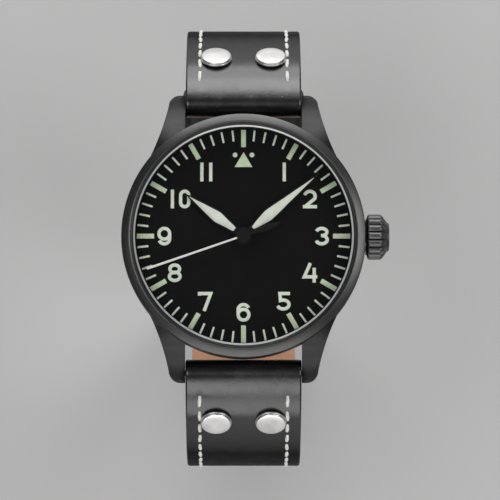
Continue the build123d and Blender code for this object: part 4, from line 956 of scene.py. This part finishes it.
def narrowing(s, end, half):
    """Share of the full width at a length: the tip is a circle through both edges and the end."""
    radius = (half**2 + TIP**2) / (2 * TIP)
    inside = np.clip(s - (end - TIP), 0, TIP)
    round_half = np.sqrt(np.clip(radius**2 - (inside + radius - TIP) ** 2, 1e-6, None))
    return np.where(inside > 0, round_half / half, 1.0)


def on_strap(course, points, s, depth=0.0):
    """Places shapes on the strap. A point (x, y, z) goes x across, y along the strap's direction
    and z out of it, from the place at the length s, which may be one number or one per shape."""
    s = np.atleast_1d(np.asarray(s, float))
    base, out, on = course.at(s, depth), course.out(s), course.on(s)
    yz = base[:, None] + on[:, None] * points[..., 1:2] + out[:, None] * points[..., 2:3]
    return np.concatenate([np.broadcast_to(points[..., :1], yz.shape[:2] + (1,)), yz], -1)


def seam_line(course, q, across, round_tip):
    """Length and place across of the seam at the distance q along it: straight down one edge, and
    on a rounded tip half a circle, then back up the other edge."""
    straight = course.end - SEAM_TURN
    if not round_tip:
        return q, np.full_like(q, across)
    turned = np.clip((q - straight) / across, 0, np.pi)
    s = np.where(q <= straight, q, straight + across * np.sin(turned))
    s = np.where(q > straight + np.pi * across, 2 * straight + np.pi * across - q, s)
    return s, across * np.cos(turned)


def stitches(course, starts, across, thread, size, round_tip=False, side=1, lengthwise=9, around=8):
    """Stitches: short round threads whose middle stands out of the leather and whose ends dive into
    it. The thread's height is 0.03 - 0.42 u^4 and its radius is thinned at the ends, u from -1 to 1.
    Every third one leans a little the other way."""
    u = np.linspace(-1, 1, lengthwise)
    q = starts[:, None] + size / 2 + u[None] * size / 2
    s, x = seam_line(course, q, across, round_tip)
    lean = np.where(np.arange(len(starts)) % 3 == 1, 0.07, -0.05)[:, None] * u[None]
    x = (x + lean) * side
    radius = thread / 2 * np.sqrt(1 - 0.72 * u**4)
    a = full_turn(around)
    radius = radius[:, None] * (1 + 0.1 * np.cos(2 * a + 5.0 * u[:, None]))
    out = course.out(s)
    height = (0.03 - 0.42 * u**4)[:, None] + radius * np.sin(a) * 0.75
    yz = course.at(s)[:, :, None] + out[:, :, None] * height[..., None]
    rows = np.concatenate([(x[..., None] + radius * np.cos(a))[..., None], yz], -1)
    return repeated(closed_ends(rows).reshape(len(rows), -1, 3), grid_faces(lengthwise + 2, around))


def rivet_shape():
    """Turned rivet about its own axis: a domed head with a fine line round its side, a shank and a
    flat inner cap."""
    corners = [
        (0, 1.04), (1.7, 0.98), (2.58, 0.9), (2.64, 0.62), (2.5, 0.55), (RIVET_HEAD, 0.46), (RIVET_HEAD, 0.2),
        (2.35, 0.0), (1.1, 0.0), (1.1, -3.9), (2.2, -4.02), (2.2, -4.42), (0, -4.47),
    ]
    cuts = [0, 0.3, 0.19, 0.05, 0.04, 0.08, 0.05, 0.03, 0.05, 0.05, 0.04, 0.12, 0]
    return soften(corners, cuts)


def keeper_shape(round_corner=1.9):
    """Leather loop: a section with soft edges carried round a rounded rectangle in the X-Z plane.
    Across the leather the section is (|cos t|^0.35, |sin t|^0.55), each with its sign."""
    wall = KEEPER / 2
    half_x, low, high = KEEPER_INSIDE + wall, -SECOND - KEEPER_GAP - wall, LINING + KEEPER_GAP + wall
    middle = soften([(-half_x, low), (half_x, low), (half_x, high), (-half_x, high)], round_corner, 8)
    run = np.roll(middle, -1, 0) - middle
    steps = np.maximum(1, (np.linalg.norm(run, axis=1) / 1.2).astype(int))
    which = np.repeat(np.arange(len(middle)), steps)
    share = (np.arange(len(which)) - (np.cumsum(steps) - steps)[which]) / steps[which]
    line = middle[which] + run[which] * share[:, None]
    ahead = np.roll(line, -1, 0) - np.roll(line, 1, 0)
    ahead /= np.linalg.norm(ahead, axis=1)[:, None]
    outward = np.stack([ahead[:, 1], -ahead[:, 0]], -1)
    t = full_turn(36)
    power = lambda v, p: np.sign(v) * np.abs(v) ** p
    along = KEEPER_HALF * power(np.cos(t), 0.35)
    depth = wall * power(np.sin(t), 0.55)
    xz = line[:, None] + outward[:, None] * depth[:, None]
    return tube(np.stack([xz[..., 0], np.broadcast_to(along, xz.shape[:2]), xz[..., 1]], -1), True)


class WATCH_OT_strap(bpy.types.Operator):
    """Both strap halves: folded outer leather, lining, keepers and holes."""

    bl_idname = "watch.strap"
    bl_label = "Strap"

    def execute(self, context):
        look = context.scene.watch_strap
        half, seam = look.width / MM / 2, look.stitch_across / MM
        black = leather("Black leather", look.leather_colour, 0.6, 0.33)
        tan = suede("Tan lining", look.lining_colour)
        plain, grooved = section(half, LEATHER), section(half, LEATHER, seam)
        back = section(half - LINING_IN, LINING - LEATHER, 0, 0.15)
        groove_from, groove_over, tongue_slot = 1.5, 2, [(-1.5, -7.5), (1.5, -7.5), (1.5, 7.5), (-1.5, 7.5)]
        for name, course, folded in (("strap_top", SHORT, True), ("strap_tail", LONG, False)):
            places, outs, lengths = strip(course, folded)
            widths = 1.0 if folded else narrowing(lengths, course.end, half)
            pressed = (np.clip(lengths - groove_from, 0, groove_over) / groove_over)[:, None, None]
            outline = plain + (grooved - plain) * pressed
            thin, skived = np.ones(len(places)), np.linspace(0.35, 1, 8)
            thin[:8] = skived
            if folded:
                thin[-8:] = skived[::-1]
            shape = swept(places, outs, outline, widths, thin)
            outer = place(name + "_outer", shape, black, name, [name + "_leather"], 40)
            s = np.linspace(LINING_START, course.end - (LINING_START if folded else 0.02), 240)
            widths = 1.0 if folded else narrowing(s, course.end, half)
            shape = swept(course.at(s, LEATHER), course.out(s), back, widths)
            inner = place(name + "_inner", shape, tan, name, [name + "_lining"], 40)
            if folded:
                rim = soften(tongue_slot, 0.6)
                points, faces = tube(np.stack([with_height(rim, height) for height in (-6.0, 6.0)]))
                cut([outer, inner], (on_strap(course, points[None], course.end, FOLD)[0], faces))
            else:
                points, faces = lathe([(0, -5), (HOLE_RADIUS, -5), (HOLE_RADIUS, 3), (0, 3)], 40)
                for at in course.end - LAST_HOLE - HOLE_PITCH * np.arange(HOLES):
                    cut([outer, inner], (on_strap(course, points[None], at)[0], faces))
        points, faces = keeper_shape()
        loops = (
            ("fixed_loop", "strap_top", "fixed_keeper", FIXED_AT, -0.65),
            ("free_loop", "free_keeper", "free_keeper", FREE_AT, -0.8),
        )
        for name, body, node, at, drop in loops:
            loop = on_strap(SHORT, points[None] + (0, 0, drop), SHORT.end - at)[0], faces
            place(name, loop, black, body, [node], 50)
        return {"FINISHED"}


class WATCH_OT_seams(bpy.types.Operator):
    """Stitches of both halves."""

    bl_idname = "watch.seams"
    bl_label = "Seams"

    def execute(self, context):
        look = context.scene.watch_strap
        across, pitch, thread = (v / MM for v in (look.stitch_across, look.stitch_pitch, look.thread_width))
        pale = thread_finish("Pale thread", look.thread_colour)
        size, first, stop = pitch * 0.82, 3.3, 7.5
        for name, course, tip in (("strap_top", SHORT, False), ("strap_tail", LONG, True)):
            last = 2 * (course.end - SEAM_TURN) + np.pi * across - first if tip else course.end - stop
            starts = np.linspace(first, last - size, round((last - size - first) / pitch) + 1)
            sides = (1,) if tip else (1, -1)
            shapes = [stitches(course, starts, across, thread, size, tip, side) for side in sides]
            place(name + "_stitches", joined(*shapes), pale, name, (), 80)
        return {"FINISHED"}


class WATCH_OT_rivets(bpy.types.Operator):
    """Steel rivets, two on each half."""

    bl_idname = "watch.rivets"
    bl_label = "Rivets"

    def execute(self, context):
        look = context.scene.watch_strap
        steel = bright_metal("Rivet steel", look.rivet_colour, 0.34, (1, 1, 1), 2200.0)
        points, faces = lathe(rivet_shape() * (look.rivet_radius / MM / RIVET_HEAD, 1.0), 72)
        pair = np.stack([points + (x, 0, 0) for x in (-RIVET_ACROSS, RIVET_ACROSS)])
        for name, course in (("strap_top", SHORT), ("strap_tail", LONG)):
            shape = repeated(on_strap(course, pair, np.full(2, RIVET_AT)), faces)
            place(name + "_rivet_heads", shape, steel, name, [name + "_rivets"], 35)
        return {"FINISHED"}


class WATCH_OT_buckle(bpy.types.Operator):
    """Buckle with its tongue, and the spring bars."""

    bl_idname = "watch.buckle"
    bl_label = "Buckle and bars"

    def execute(self, context):
        look = context.scene.watch_case
        metal = dark_metal("Buckle coating", look.case_colour, (2, 14, 14), 0.32)
        dress("buckle_frame", metal, 0.3, 3)
        dress("buckle_tongue", metal, 0.15)
        steel = bright_metal("Bar steel", (0.55, 0.55, 0.54), 0.28, (1, 12, 12))
        for bar in ("top", "tail", "buckle"):
            for part in ("tube", "tip_right", "tip_left"):
                dress(bar + "_bar_" + part, steel)
        return {"FINISHED"}


# Stage


# Gap between the CAD model's lowest point and the floor, and the picture's shift in view widths
FLOOR_GAP, SHIFT = 0.05, (0.013, -0.0303)

# Lamps as (centre, width, height, watts)
LAMPS = {
    "lamp_twelve": ((0, 565, 310), 620, 250, 2.4),
    "lamp_twelve_low": ((0, 610, 60), 620, 260, 1.6),
    "lamp_six": ((0, -455, 395), 620, 200, 1.15),
    "lamp_six_low": ((0, -590, 130), 620, 290, 1.2),
    "lamp_right": ((470, 40, 560), 340, 300, 1.6),
    "lamp_left": ((-250, -40, 660), 300, 300, 1.2),
}


def softbox(name, centre, width, height, power):
    """A rectangular lamp, level and turned towards the origin."""
    lamp = bpy.data.lights.new(name, "AREA")
    lamp.shape, lamp.size, lamp.size_y, lamp.energy = "RECTANGLE", width * MM, height * MM, power
    centre = np.array(centre) * MM
    back = centre / np.linalg.norm(centre)
    side = np.cross((0, 0, 1), back)
    side /= np.linalg.norm(side)
    turned = Matrix(np.column_stack([side, np.cross(back, side), back]).tolist()).to_4x4()
    turned.translation = centre.tolist()
    linked(name, lamp).matrix_world = turned


class WATCH_OT_stage(bpy.types.Operator):
    """Pale floor, soft lamps, world and camera."""

    bl_idname = "watch.stage"
    bl_label = "Stage"

    def execute(self, context):
        scene, look = context.scene, context.scene.watch_stage
        rings, sides, reach = 24, 96, 3000
        radius = np.linspace(0, 1, rings)[:, None] ** 2 * reach
        a = full_turn(sides)
        flat = np.stack([radius * np.cos(a), radius * np.sin(a)], -1).reshape(-1, 2)
        mesh = bpy.data.meshes.new("floor")
        faces = grid_faces(rings, sides)[:, ::-1]
        floor_height = CAD_BOX[0][2] / MM - FLOOR_GAP
        mesh.from_pydata((with_height(flat, floor_height) * MM).tolist(), [], faces.tolist())
        finish = Finish("Floor", specular_ior_level=0.2, roughness=0.8)
        tone = finish.tinted(finish.noise(4.0, 2), look.floor_colour, 0.97, 1.02, 0.0, 1.0)
        finish.fill(finish.surface, {"base_color": tone})
        mesh.materials.append(finish.material)
        floor = linked("floor", mesh)
        for name, lamp in LAMPS.items():
            softbox(name, *lamp)
        world = bpy.data.worlds.new("Room")
        scene.world = world
        world.use_nodes = True
        sky = world.node_tree.nodes["Background"].inputs
        sky["Color"].default_value, sky["Strength"].default_value = (1, 1, 1, 1), look.world_light
        camera = bpy.data.cameras.new("Camera")
        distance, tilt = look.camera_distance, look.camera_tilt
        camera.angle = 2 * np.arctan(look.view_width / 2 / distance)
        camera.shift_x, camera.shift_y = SHIFT
        camera.clip_start, camera.clip_end = 0.01, 20
        eye = linked("Camera", camera)
        eye.location = (0, -np.sin(tilt) * distance, BEZEL_TOP * MM + np.cos(tilt) * distance)
        eye.rotation_euler = (tilt, 0, 0)
        scene.camera = eye
        scene.view_settings.view_transform = "Standard"
        return {"FINISHED"}


# Panel and registration


OPERATORS = (
    WATCH_OT_stage, WATCH_OT_case, WATCH_OT_bezel, WATCH_OT_crown, WATCH_OT_dial, WATCH_OT_hands,
    WATCH_OT_strap, WATCH_OT_seams, WATCH_OT_rivets, WATCH_OT_buckle,
)


class WATCH_PT_panel(bpy.types.Panel):
    """Lists the watch's pieces and settings."""

    bl_idname = "WATCH_PT_panel"
    bl_label = "Pilot watch"
    bl_space_type = "VIEW_3D"
    bl_region_type = "UI"
    bl_category = "Watch"

    def draw(self, context):
        """A box of settings for each group, and a button for each operator."""
        for name in SETTINGS:
            box = self.layout.box()
            group = getattr(context.scene, name)
            for setting in group.__annotations__:
                box.prop(group, setting)
        for operator in OPERATORS:
            self.layout.operator(operator.bl_idname)


CLASSES = (*SETTINGS.values(), *OPERATORS, WATCH_PT_panel)


def register():
    """Registers the classes and puts the settings on the scene."""
    for kind in CLASSES:
        bpy.utils.register_class(kind)
    for name, kind in SETTINGS.items():
        setattr(bpy.types.Scene, name, bpy.props.PointerProperty(type=kind))


def unregister():
    """Takes the settings off the scene and unregisters the classes."""
    for name in SETTINGS:
        delattr(bpy.types.Scene, name)
    for kind in reversed(CLASSES):
        bpy.utils.unregister_class(kind)


def main():
    """Registers the classes and builds every piece."""
    register()
    for operator in OPERATORS:
        group, name = operator.bl_idname.split(".")
        getattr(getattr(bpy.ops, group), name)()


if __name__ == "__main__":
    main()
